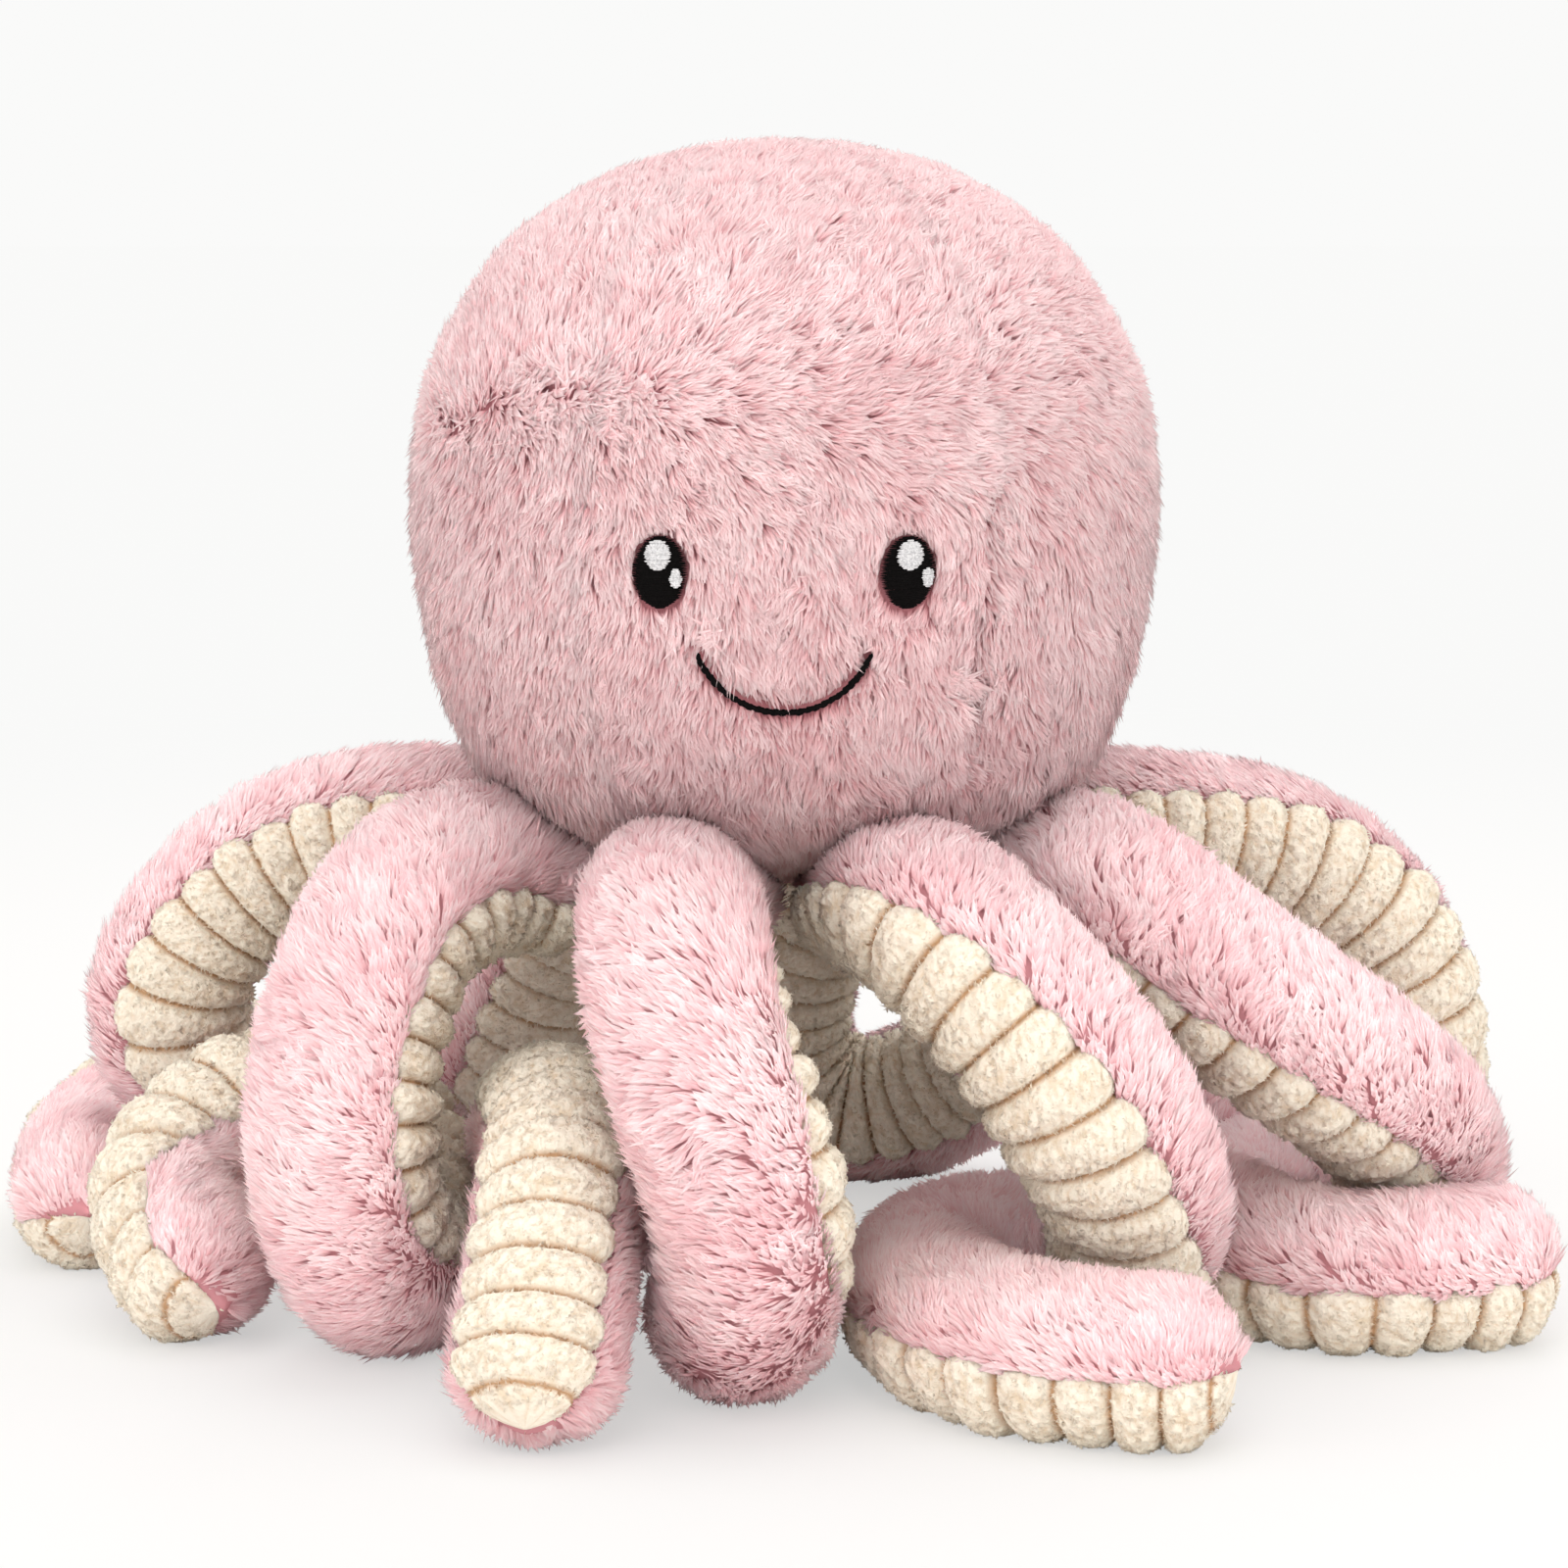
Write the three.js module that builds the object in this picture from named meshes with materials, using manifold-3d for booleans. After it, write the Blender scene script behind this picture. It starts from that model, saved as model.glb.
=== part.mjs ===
// Plush octopus, sitting: a stuffed ball head on eight curled arms.
// Millimetres, +Z up, floor at Z = 0, face towards -Y.
import * as THREE from 'three';
import { mergeVertices } from 'three/addons/utils/BufferGeometryUtils.js';
import Module from 'manifold-3d';

const wasm = await Module();
wasm.setup();

// Main sizes. Surfaces lie a little under the tips of the pile.
const HEAD_WIDTH = 195;
const HEAD_HEIGHT = 191;
const SEAM_HEIGHT = 146; // where the arms are sewn to the head, above the floor
const ARM_THICKNESS = 45;
const ARM_COUNT = 8;
const RIBS_PER_ARM = 23;
const FIT_GAP = 0.3; // between pieces that touch
const SPLIT_GAP = 0.6; // between an arm's plush back and its ribbed underside
const FLAT_DEPTH = 0.5; // how deep the floor flattens what rests on it

// Head cloth and filling.
const CLOTH_THICKNESS = 6;
const PANEL_GAP = 0.4; // between neighbouring panels of cloth
const HEAD_SEGMENTS = 24;
const PANEL_STEPS = 6; // round the edge that cuts a panel
const FACE_HALF_ANGLE_DEG = 32;
const SIDE_END_ANGLE_DEG = 122;

// Face embroidery.
const EYE_WIDTH = 13.6;
const EYE_HEIGHT = 18;
const EYE_SPACING = 61;
const EYE_PROUD = 1.4;
const GLINT_PROUD = 0.9;
const GLINT_WIDTH = 6.4;
const GLINT_HEIGHT = 7.4;
const SMALL_GLINT_WIDTH = 3;
const SMALL_GLINT_HEIGHT = 4.8;
const SMILE_WIDTH = 42;
const SMILE_DROP = 14;
const SMILE_THREAD = 1.8;
const SMILE_STEPS = 18;
const SMILE_SIDES = 6;

// Base panel that closes the head between the arms' roots.
const BASE_GAP = 2.7; // between the panel's edge and the ends of the arms
const BASE_THICKNESS = 4;

const HEAD_R = HEAD_WIDTH / 2;
const ARM_R = ARM_THICKNESS / 2;
const OVERRUN = HEAD_WIDTH; // how far cutting shapes reach past what they cut
const rad = THREE.MathUtils.degToRad;

const PINK = { color: 0xe6b0b4, roughness: 0.95, metalness: 0 };
const ROSE = { color: 0xdda4aa, roughness: 0.95, metalness: 0 };
const CREAM = { color: 0xebdec6, roughness: 0.95, metalness: 0 };
const BLACK = { color: 0x121010, roughness: 0.6, metalness: 0 };
const SILVER = { color: 0xd8d8da, roughness: 0.5, metalness: 0 };
const FIBRE = { color: 0xf4f2ee, roughness: 1, metalness: 0 };

// Head outline from the middle of its underside to its crown:
// radius as a share of half the width, height as a share of the height.
const HEAD_OUTLINE_SHARES = [
  [0, 0], [0.3, 0.004], [0.53, 0.03], [0.7, 0.075], [0.82, 0.135], [0.905, 0.22],
  [0.965, 0.335], [1, 0.5], [0.968, 0.66], [0.86, 0.78], [0.7, 0.88], [0.46, 0.955],
  [0.22, 0.99], [0, 1],
];
const SEAM_RADIUS_SHARE = 0.805;
const SEAM_HEIGHT_SHARE = 0.135;
const EYE_HEIGHT_SHARE = 0.46;
const SMILE_HEIGHT_SHARE = 0.352;

// Root of every arm: distance from the axis as a share of the seam's radius,
// height as a share of the arm's radius under the seam, thickness as a share.
const ROOT_SHARES = [
  [0.62, 1.28, 0.72],
  [0.78, 1.16, 0.86],
  [1.0, 1.02, 0.96],
];

// Routes of the arms after their roots. Each row has x and y as shares of the arm's
// thickness, height as a share of the way from lying on the floor (0) to hanging at
// the seam (1), thickness as a share, and the way that the ribbed underside faces.
const ROUTES_SHARES = {
  left_rear: [
    [-2.3, 0.8, 1.02, 0.98, 0.1, -0.86, -0.5], [-2.95, 0.88, 0.97, 0.96, 0.15, -0.86, -0.45],
    [-3.5, 0.9, 0.8, 0.95, 0.35, -0.87, -0.35], [-3.82, 0.92, 0.58, 0.95, 0.45, -0.88, -0.1],
    [-3.82, 1.05, 0.4, 0.96, 0.45, -0.88, 0.1], [-3.52, 1.42, 0.22, 0.96, 0.5, -0.6, 0.5],
    [-3.12, 1.82, 0.06, 0.96, 0.4, -0.1, 0.9], [-2.96, 2.34, 0.07, 0.96, 0.1, 0.2, 0.95],
    [-3.14, 2.82, 0.12, 0.95, -0.2, 0.2, 0.95], [-3.6, 3.1, 0.1, 0.94, -0.5, 0.3, 0.8],
    [-4.12, 2.92, 0.03, 0.92, -0.8, 0.2, 0.4], [-4.4, 2.4, 0, 0.9, -0.95, 0, -0.2],
    [-4.44, 1.8, 0, 0.89, -0.8, 0, -0.6], [-4.4, 1.25, 0, 0.88, -0.4, -0.1, -0.9],
    [-4.3, 0.72, 0, 0.86, -0.1, -0.2, -0.95],
  ],
  left_front: [
    [-1.9, -0.92, 1.02, 1.0, 0.5, 0.1, -0.85], [-2.22, -1.28, 0.94, 1.02, 0.8, 0.2, -0.55],
    [-2.42, -1.58, 0.7, 1.03, 0.93, 0.25, -0.25], [-2.52, -1.76, 0.46, 1.03, 0.95, 0.3, 0],
    [-2.48, -1.78, 0.22, 1.02, 0.9, 0.4, 0.2], [-2.34, -1.48, 0.04, 1.0, 0.6, 0.4, 0.7],
    [-2.2, -1.02, -0.04, 1.0, 0.1, 0.3, 0.95], [-2.14, -0.45, 0.04, 0.98, -0.3, 0.1, 0.95],
    [-2.34, 0.1, 0.2, 0.96, -0.3, -0.2, 0.95], [-2.82, 0.22, 0.34, 0.94, -0.1, -0.5, 0.85],
    [-3.38, -0.06, 0.3, 0.93, -0.4, -0.5, 0.75], [-3.74, -0.54, 0.12, 0.9, -0.85, -0.5, 0.1],
    [-3.42, -1.02, 0, 0.88, -0.6, -0.5, -0.65],
  ],
  front_left: [
    [-0.6, -2.2, 0.98, 1.02, 0.2, 0.6, -0.8], [-0.58, -2.55, 0.86, 1.05, 0.35, 0.85, -0.4],
    [-0.42, -2.8, 0.64, 1.06, 0.65, 0.75, 0], [-0.22, -2.88, 0.42, 1.05, 0.86, 0.5, 0],
    [-0.12, -2.8, 0.2, 1.04, 0.8, 0.45, 0.4], [-0.24, -2.42, 0, 1.02, 0.3, 0.5, 0.8],
    [-0.26, -1.82, 0, 1.0, 0.15, 0.1, 0.95], [-0.2, -1.22, 0, 0.98, 0, -0.2, 0.95],
    [-0.2, -0.66, 0.02, 0.96, 0, -0.2, 0.95], [-0.42, -0.2, 0.06, 0.94, 0, -0.1, 0.98],
    [-0.88, -0.06, 0.14, 0.94, -0.05, 0, 0.98], [-1.28, -0.34, 0.26, 0.94, -0.05, 0.2, 0.96],
    [-1.38, -0.86, 0.35, 0.94, -0.1, 0.1, 0.98], [-1.3, -1.4, 0.39, 0.94, -0.1, 0, 0.98],
    [-1.2, -1.92, 0.4, 0.94, -0.15, -0.2, 0.95], [-1.24, -2.6, 0.3, 0.93, -0.2, -0.6, 0.75],
    [-1.34, -3.18, 0, 0.92, -0.2, -0.85, 0.5],
  ],
  front_right: [
    [0.86, -1.94, 0.97, 1.02, -0.5, -0.5, -0.7], [1.21, -2.17, 0.81, 1.06, -0.55, -0.7, -0.45],
    [1.58, -2.28, 0.62, 1.08, -0.56, -0.72, -0.4], [1.88, -2.2, 0.4, 1.06, -0.55, -0.75, -0.35],
    [2.0, -1.92, 0.2, 1.02, -0.3, -0.85, -0.4], [1.99, -1.44, 0.08, 1.0, 0, -0.4, -0.9],
    [1.78, -1.02, 0, 0.98, 0, 0.2, -0.95], [1.36, -0.84, 0, 0.97, -0.1, 0.2, -0.95],
    [0.94, -1.02, 0, 0.96, -0.4, 0.1, -0.9], [0.77, -1.46, 0, 0.95, -0.4, -0.1, -0.9],
    [0.82, -2.02, 0, 0.95, -0.4, -0.2, -0.88], [1.02, -2.58, 0, 0.95, -0.3, -0.35, -0.88],
    [1.48, -2.99, 0, 0.94, -0.1, -0.4, -0.9], [2.08, -3.1, 0, 0.92, 0, -0.4, -0.9],
  ],
  right_front: [
    [1.9, -0.88, 0.96, 1.0, -0.2, 0, -0.95], [2.42, -1.02, 0.76, 1.02, -0.35, 0, -0.93],
    [2.92, -1.0, 0.6, 1.03, -0.35, -0.05, -0.93], [3.4, -0.8, 0.44, 1.02, -0.4, -0.1, -0.9],
    [3.76, -0.35, 0.28, 1.0, -0.4, -0.1, -0.85], [3.87, 0.15, 0.1, 0.98, -0.3, 0, -0.95],
    [3.64, 0.58, 0, 0.97, -0.1, 0.2, -0.95], [3.2, 0.75, 0, 0.96, -0.1, 0.3, -0.93],
    [2.78, 0.57, 0, 0.95, -0.3, 0.2, -0.92], [2.57, 0.1, 0, 0.95, -0.4, 0, -0.9],
    [2.57, -0.45, 0, 0.95, -0.4, -0.1, -0.9], [2.86, -0.98, 0, 0.94, -0.3, -0.3, -0.9],
    [3.35, -1.28, 0, 0.93, -0.1, -0.35, -0.93], [4.12, -1.0, 0, 0.92, 0.1, -0.35, -0.93],
  ],
  right_rear: [
    [2.2, 0.85, 1.0, 0.98, 0, -0.9, -0.4], [2.9, 1.05, 0.94, 1.0, -0.1, -0.98, -0.15],
    [3.42, 1.2, 0.8, 1.02, 0.15, -0.98, 0], [3.78, 1.3, 0.58, 1.02, 0.5, -0.85, 0.1],
    [3.92, 1.35, 0.36, 1.0, 0.75, -0.65, 0.1], [3.86, 1.56, 0.12, 0.98, 0.8, -0.45, -0.3],
    [3.55, 1.95, 0, 0.97, 0.6, 0.1, -0.75], [3.1, 2.45, 0, 0.96, 0.2, 0.6, -0.75],
    [2.82, 3.0, 0, 0.94, 0.4, 0.3, -0.85], [2.8, 3.6, 0, 0.93, 0.4, 0.3, -0.85],
    [3.0, 4.2, 0, 0.91, 0.2, 0.4, -0.9],
  ],
  rear_left: [
    [-0.95, 2.05, 0.92, 1.0, 0.2, -0.7, -0.7], [-1.3, 2.5, 0.7, 1.0, 0.4, -0.85, -0.3],
    [-1.6, 2.8, 0.44, 1.0, 0.5, -0.85, 0], [-1.8, 3.0, 0.2, 0.98, 0.45, -0.85, -0.2],
    [-2.05, 3.35, 0.02, 0.97, 0.35, -0.5, -0.8], [-2.3, 3.95, 0, 0.96, 0.3, -0.1, -0.95],
    [-2.0, 4.6, 0, 0.95, 0.1, 0.2, -0.95], [-1.3, 4.75, 0, 0.93, 0, 0.2, -0.95],
    [-0.75, 4.58, 0, 0.91, -0.1, 0.2, -0.95], [-0.25, 4.4, 0, 0.9, -0.1, 0.2, -0.95],
  ],
  rear_right: [
    [0.62, 2.02, 0.96, 1.0, 0.2, -0.7, -0.7], [0.36, 2.54, 0.8, 1.0, 0.3, -0.9, -0.3],
    [-0.02, 2.86, 0.5, 1.0, 0.4, -0.9, 0], [-0.12, 3.02, 0.16, 0.98, 0.4, -0.85, 0.3],
    [0.25, 3.12, -0.03, 0.97, 0.2, -0.8, 0.5], [0.85, 3.04, 0, 0.96, -0.2, -0.85, 0.4],
    [1.36, 2.74, 0.18, 0.95, -0.5, -0.8, 0.2], [1.68, 2.24, 0.34, 0.94, -0.7, -0.5, 0.2],
    [1.8, 1.7, 0.44, 0.93, -0.8, -0.2, 0.2], [1.95, 1.15, 0.46, 0.91, -0.9, -0.2, 0.2],
  ],
};

// Where each arm is sewn on, in degrees from the front, to the right.
const ROOT_ANGLES_DEG = {
  front_right: 22.5, right_front: 67.5, right_rear: 112.5, rear_right: 157.5,
  rear_left: -157.5, left_rear: -112.5, left_front: -67.5, front_left: -22.5,
};

// Cross-section of an arm: half the angle that the ribs cover, and the depth of the
// grooves between ribs as a share of the arm's radius.
const RIB_HALF_ANGLE_DEG = 58;
const GROOVE_SHARE = 0.87;
const RIB_POINTS = 6;
const PLUSH_POINTS = 9;
const TIP_STEPS = 3;
const ROUTE_STEPS = 24; // between neighbouring control points
const TIP_LENGTH_SHARE = 0.8; // of the arm's radius

// Geometry helpers.

function meshFrom(points, faces) {
  const geometry = new THREE.BufferGeometry();
  geometry.setAttribute('position', new THREE.Float32BufferAttribute(points.flatMap((p) => p.toArray()), 3));
  geometry.setIndex(faces.flat());
  return geometry;
}

function toSolid(geometry) {
  const plain = geometry.clone();
  plain.deleteAttribute('normal');
  plain.deleteAttribute('uv');
  const merged = mergeVertices(plain);
  const mesh = new wasm.Mesh({
    numProp: 3,
    vertProperties: new Float32Array(merged.attributes.position.array),
    triVerts: new Uint32Array(merged.index.array),
  });
  return new wasm.Manifold(mesh);
}

function toGeometry(solid) {
  const mesh = solid.getMesh();
  const geometry = new THREE.BufferGeometry();
  const positions = new Float32Array(mesh.numVert * 3);
  for (let i = 0; i < mesh.numVert; i += 1) {
    for (let k = 0; k < 3; k += 1) positions[i * 3 + k] = mesh.vertProperties[i * mesh.numProp + k];
  }
  geometry.setAttribute('position', new THREE.BufferAttribute(positions, 3));
  geometry.setIndex(new THREE.BufferAttribute(new Uint32Array(mesh.triVerts), 1));
  return geometry;
}

// Skins a row of closed rings, with a point at each end. The crossed form splits its
// squares the other way.
function skinRings(rings, startPoint, endPoint, crossed = false) {
  const count = rings[0].length;
  const points = [startPoint, ...rings.flat(), endPoint];
  const end = points.length - 1;
  const top = rings.length - 1;
  const faces = [];
  const at = (ring, i) => 1 + ring * count + (i % count);
  for (let i = 0; i < count; i += 1) {
    faces.push([0, at(0, i + 1), at(0, i)]);
    for (let ring = 0; ring < top; ring += 1) {
      const [a, b, c, d] = [at(ring, i), at(ring, i + 1), at(ring + 1, i + 1), at(ring + 1, i)];
      if (crossed) faces.push([a, b, d], [b, c, d]);
      else faces.push([a, b, c], [a, c, d]);
    }
    faces.push([at(top, i), at(top, i + 1), end]);
  }
  return meshFrom(points, faces);
}

function biggestBody(solid) {
  const bodies = solid.decompose();
  return bodies.reduce((best, body) => (body.volume() > best.volume() ? body : best));
}

// Head.

// Height of the head's lowest point, set by where the seam must come.
const HEAD_BOTTOM = SEAM_HEIGHT - SEAM_HEIGHT_SHARE * HEAD_HEIGHT;
const SEAM_RADIUS = SEAM_RADIUS_SHARE * HEAD_R;

function headOutline(offset) {
  const outline = HEAD_OUTLINE_SHARES.map(([r, h]) => new THREE.Vector2(r * HEAD_R, HEAD_BOTTOM + h * HEAD_HEIGHT));
  return outline.map((point, i) => {
    if (i === 0) return new THREE.Vector2(0, point.y - offset);
    if (i === outline.length - 1) return new THREE.Vector2(0, point.y + offset);
    const along = outline[i + 1].clone().sub(outline[i - 1]).normalize();
    return new THREE.Vector2(point.x + along.y * offset, point.y - along.x * offset);
  });
}

function headSolid(offset) {
  const lathe = new THREE.LatheGeometry(headOutline(offset), HEAD_SEGMENTS);
  lathe.rotateX(Math.PI / 2);
  return toSolid(lathe);
}

// Radius of the head's outline at a height.
function headRadiusAt(height) {
  const outline = headOutline(0);
  for (let i = 0; i < outline.length - 1; i += 1) {
    const [low, high] = [outline[i], outline[i + 1]];
    if (height >= low.y && height <= high.y) {
      return THREE.MathUtils.mapLinear(height, low.y, high.y, low.x, high.x);
    }
  }
  return 0;
}

// A wedge round the head's axis between two angles from the front, drawn in by half
// the gap between panels.
function headWedge(fromDeg, toDeg) {
  const middle = rad((fromDeg + toDeg) / 2);
  const half = rad((toDeg - fromDeg) / 2);
  const inset = PANEL_GAP / 2 / Math.sin(Math.min(half, Math.PI / 2));
  const shape = new THREE.Shape();
  const apex = new THREE.Vector2(Math.sin(middle) * inset, -Math.cos(middle) * inset);
  shape.moveTo(apex.x, apex.y);
  for (let i = 0; i <= PANEL_STEPS; i += 1) {
    const angle = middle - half + (2 * half * i) / PANEL_STEPS;
    shape.lineTo(apex.x + Math.sin(angle) * OVERRUN, apex.y - Math.cos(angle) * OVERRUN);
  }
  shape.closePath();
  const wedge = new THREE.ExtrudeGeometry(shape, { depth: SEAM_HEIGHT + HEAD_HEIGHT, bevelEnabled: false });
  return toSolid(wedge);
}

function headPanel(fromDeg, toDeg) {
  const cloth = headSolid(0).subtract(headSolid(-CLOTH_THICKNESS));
  return cloth.intersect(headWedge(fromDeg, toDeg));
}

function headFilling() {
  return headSolid(-CLOTH_THICKNESS - FIT_GAP);
}

function basePanel() {
  const [rootDistance, , rootThickness] = ROOT_SHARES[0];
  const armsReach = rootDistance * SEAM_RADIUS - rootThickness * ARM_R * TIP_LENGTH_SHARE;
  const baseR = armsReach - BASE_GAP;
  const disc = new THREE.CylinderGeometry(baseR, baseR, SEAM_HEIGHT, HEAD_SEGMENTS);
  disc.rotateX(Math.PI / 2);
  disc.translate(0, 0, HEAD_BOTTOM);
  const layer = headSolid(FIT_GAP + BASE_THICKNESS).subtract(headSolid(FIT_GAP));
  const lower = new THREE.BoxGeometry(OVERRUN, OVERRUN, OVERRUN);
  lower.translate(0, 0, HEAD_BOTTOM + BASE_THICKNESS * 2 - OVERRUN / 2);
  return layer.intersect(toSolid(disc)).intersect(toSolid(lower));
}

// Face.

// An oval patch of embroidery that follows the head, between two layers above it.
function facePatch(x, z, width, height, from, to) {
  const oval = new THREE.CylinderGeometry(1, 1, HEAD_R, 20);
  oval.scale(width / 2, 1, height / 2);
  oval.translate(x, -HEAD_R, z);
  return toSolid(oval).intersect(headSolid(to)).subtract(headSolid(from));
}

const EYE_Z = HEAD_BOTTOM + EYE_HEIGHT_SHARE * HEAD_HEIGHT;
const GLINT_RISE_SHARE = 0.25; // of the eye's height
const SMALL_GLINT_SIDE_SHARE = 0.32; // of the eye's width
const SMALL_GLINT_DROP_SHARE = 0.06; // of the eye's height
const EYE_TOP = FIT_GAP + EYE_PROUD;

function eye(side) {
  return facePatch((side * EYE_SPACING) / 2, EYE_Z, EYE_WIDTH, EYE_HEIGHT, FIT_GAP, EYE_TOP);
}

function glint(side) {
  const z = EYE_Z + GLINT_RISE_SHARE * EYE_HEIGHT;
  return facePatch(
    (side * EYE_SPACING) / 2, z, GLINT_WIDTH, GLINT_HEIGHT, EYE_TOP + FIT_GAP, EYE_TOP + FIT_GAP + GLINT_PROUD,
  );
}

function smallGlint(side) {
  const x = (side * EYE_SPACING) / 2 + SMALL_GLINT_SIDE_SHARE * EYE_WIDTH;
  const z = EYE_Z - SMALL_GLINT_DROP_SHARE * EYE_HEIGHT;
  return facePatch(
    x, z, SMALL_GLINT_WIDTH, SMALL_GLINT_HEIGHT, EYE_TOP + FIT_GAP, EYE_TOP + FIT_GAP + GLINT_PROUD,
  );
}

// The smile is a cord of thread along an arc, laid on the head.
function smile() {
  const arcRadius = (SMILE_WIDTH ** 2 / 4 + SMILE_DROP ** 2) / (2 * SMILE_DROP);
  const endZ = HEAD_BOTTOM + SMILE_HEIGHT_SHARE * HEAD_HEIGHT;
  const centreZ = endZ - SMILE_DROP + arcRadius;
  const half = Math.asin(SMILE_WIDTH / 2 / arcRadius);
  const lay = FIT_GAP + SMILE_THREAD / 2;
  const path = [];
  for (let i = 0; i <= SMILE_STEPS; i += 1) {
    const angle = -half + (2 * half * i) / SMILE_STEPS;
    const x = arcRadius * Math.sin(angle);
    const z = centreZ - arcRadius * Math.cos(angle);
    const r = headRadiusAt(z);
    const y = -Math.sqrt(r * r - x * x) - lay;
    path.push(new THREE.Vector3(x, y, z));
  }
  const out = new THREE.Vector3(0, -1, 0);
  const rings = path.map((point, i) => {
    const along = path[Math.min(i + 1, SMILE_STEPS)].clone().sub(path[Math.max(i - 1, 0)]).normalize();
    const side = new THREE.Vector3().crossVectors(along, out).normalize();
    const up = new THREE.Vector3().crossVectors(along, side);
    return Array.from({ length: SMILE_SIDES }, (_, k) => {
      const turn = (2 * Math.PI * k) / SMILE_SIDES;
      return point.clone()
        .addScaledVector(side, (Math.cos(turn) * SMILE_THREAD) / 2)
        .addScaledVector(up, (Math.sin(turn) * SMILE_THREAD) / 2);
    });
  });
  return toSolid(skinRings(rings, path[0], path[SMILE_STEPS])).subtract(headSolid(FIT_GAP));
}

// Arms.

// Control points of an arm: its centre, thickness and the way its ribs face.
function armControls(name) {
  const angle = rad(ROOT_ANGLES_DEG[name]);
  const out = new THREE.Vector3(Math.sin(angle), -Math.cos(angle), 0);
  const route = ROUTES_SHARES[name];
  const firstFace = new THREE.Vector3(...route[0].slice(4)).normalize();
  const roots = ROOT_SHARES.map(([distance, under, thick]) => ({
    at: out.clone().multiplyScalar(distance * SEAM_RADIUS).setZ(SEAM_HEIGHT - under * ARM_R),
    r: thick * ARM_R,
    face: firstFace.clone(),
  }));
  const rest = route.map(([x, y, h, thick, ...face]) => {
    const r = thick * ARM_R;
    const z = r - FLAT_DEPTH + h * (SEAM_HEIGHT - 2 * ARM_R);
    return {
      at: new THREE.Vector3(x * ARM_THICKNESS, y * ARM_THICKNESS, z),
      r,
      face: new THREE.Vector3(...face).normalize(),
    };
  });
  return [...roots, ...rest];
}

// Blend of four neighbouring control points that makes a smooth route.
function splineAt(controls, t) {
  const last = controls.length - 1;
  const padded = (i) => {
    if (i < 0) return mirrored(controls[0], controls[1]);
    if (i > last) return mirrored(controls[last], controls[last - 1]);
    return controls[i];
  };
  const span = Math.min(Math.floor(t), last - 1);
  const u = t - span;
  const weights = [
    (1 - u) ** 3 / 6,
    (3 * u ** 3 - 6 * u ** 2 + 4) / 6,
    (-3 * u ** 3 + 3 * u ** 2 + 3 * u + 1) / 6,
    u ** 3 / 6,
  ];
  const result = { at: new THREE.Vector3(), r: 0, face: new THREE.Vector3() };
  weights.forEach((w, k) => {
    const c = padded(span - 1 + k);
    result.at.addScaledVector(c.at, w);
    result.r += c.r * w;
    result.face.addScaledVector(c.face, w);
  });
  return result;
}

function mirrored(end, next) {
  return { at: end.at.clone().add(end.at).sub(next.at), r: end.r, face: end.face };
}

// Even stations along an arm, from its root to its tip, with a square frame at each.
function armStations(name) {
  const controls = armControls(name);
  const fine = [];
  const steps = (controls.length - 1) * ROUTE_STEPS;
  for (let i = 0; i <= steps; i += 1) fine.push(splineAt(controls, (i * (controls.length - 1)) / steps));
  const lengths = [0];
  for (let i = 1; i < fine.length; i += 1) lengths.push(lengths[i - 1] + fine[i].at.distanceTo(fine[i - 1].at));
  const total = lengths[lengths.length - 1];
  const at = (s) => {
    let i = 1;
    while (i < lengths.length - 1 && lengths[i] < s) i += 1;
    const u = (s - lengths[i - 1]) / (lengths[i] - lengths[i - 1]);
    return {
      at: fine[i - 1].at.clone().lerp(fine[i].at, u),
      r: THREE.MathUtils.lerp(fine[i - 1].r, fine[i].r, u),
      face: fine[i - 1].face.clone().lerp(fine[i].face, u),
    };
  };
  const count = RIBS_PER_ARM * 2;
  const stations = [];
  for (let i = 0; i <= count; i += 1) stations.push(at((total * i) / count));
  stations.forEach((station, i) => {
    const before = stations[Math.max(i - 1, 0)].at;
    const after = stations[Math.min(i + 1, count)].at;
    station.along = after.clone().sub(before).normalize();
    station.up = station.face.clone().addScaledVector(station.along, -station.face.dot(station.along)).normalize();
    station.side = new THREE.Vector3().crossVectors(station.along, station.up);
  });
  return { stations, total };
}

// The seam between an arm's plush back and its ribs, at one station: its two edges.
function seamEdges(station, lift) {
  const rise = station.r * Math.cos(rad(RIB_HALF_ANGLE_DEG)) + lift;
  const spread = station.r * Math.sin(rad(RIB_HALF_ANGLE_DEG));
  const middle = station.at.clone().addScaledVector(station.up, rise);
  return [-1, 1].map((hand) => middle.clone().addScaledVector(station.side, hand * spread));
}

function girthPoint(station, angleDeg, reach, lift) {
  return station.at.clone()
    .addScaledVector(station.up, station.r * reach * Math.cos(rad(angleDeg)) + lift)
    .addScaledVector(station.side, station.r * reach * Math.sin(rad(angleDeg)));
}

// The plush back, from one edge of the seam round to the other, grown by a clearance.
function plushRing(station, clearance) {
  const span = 360 - 2 * RIB_HALF_ANGLE_DEG;
  const reach = 1 + clearance / ARM_R;
  return Array.from({ length: PLUSH_POINTS }, (_, k) => {
    const angle = RIB_HALF_ANGLE_DEG + (span * k) / (PLUSH_POINTS - 1);
    return girthPoint(station, angle, reach, clearance - SPLIT_GAP / 2);
  });
}

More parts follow.
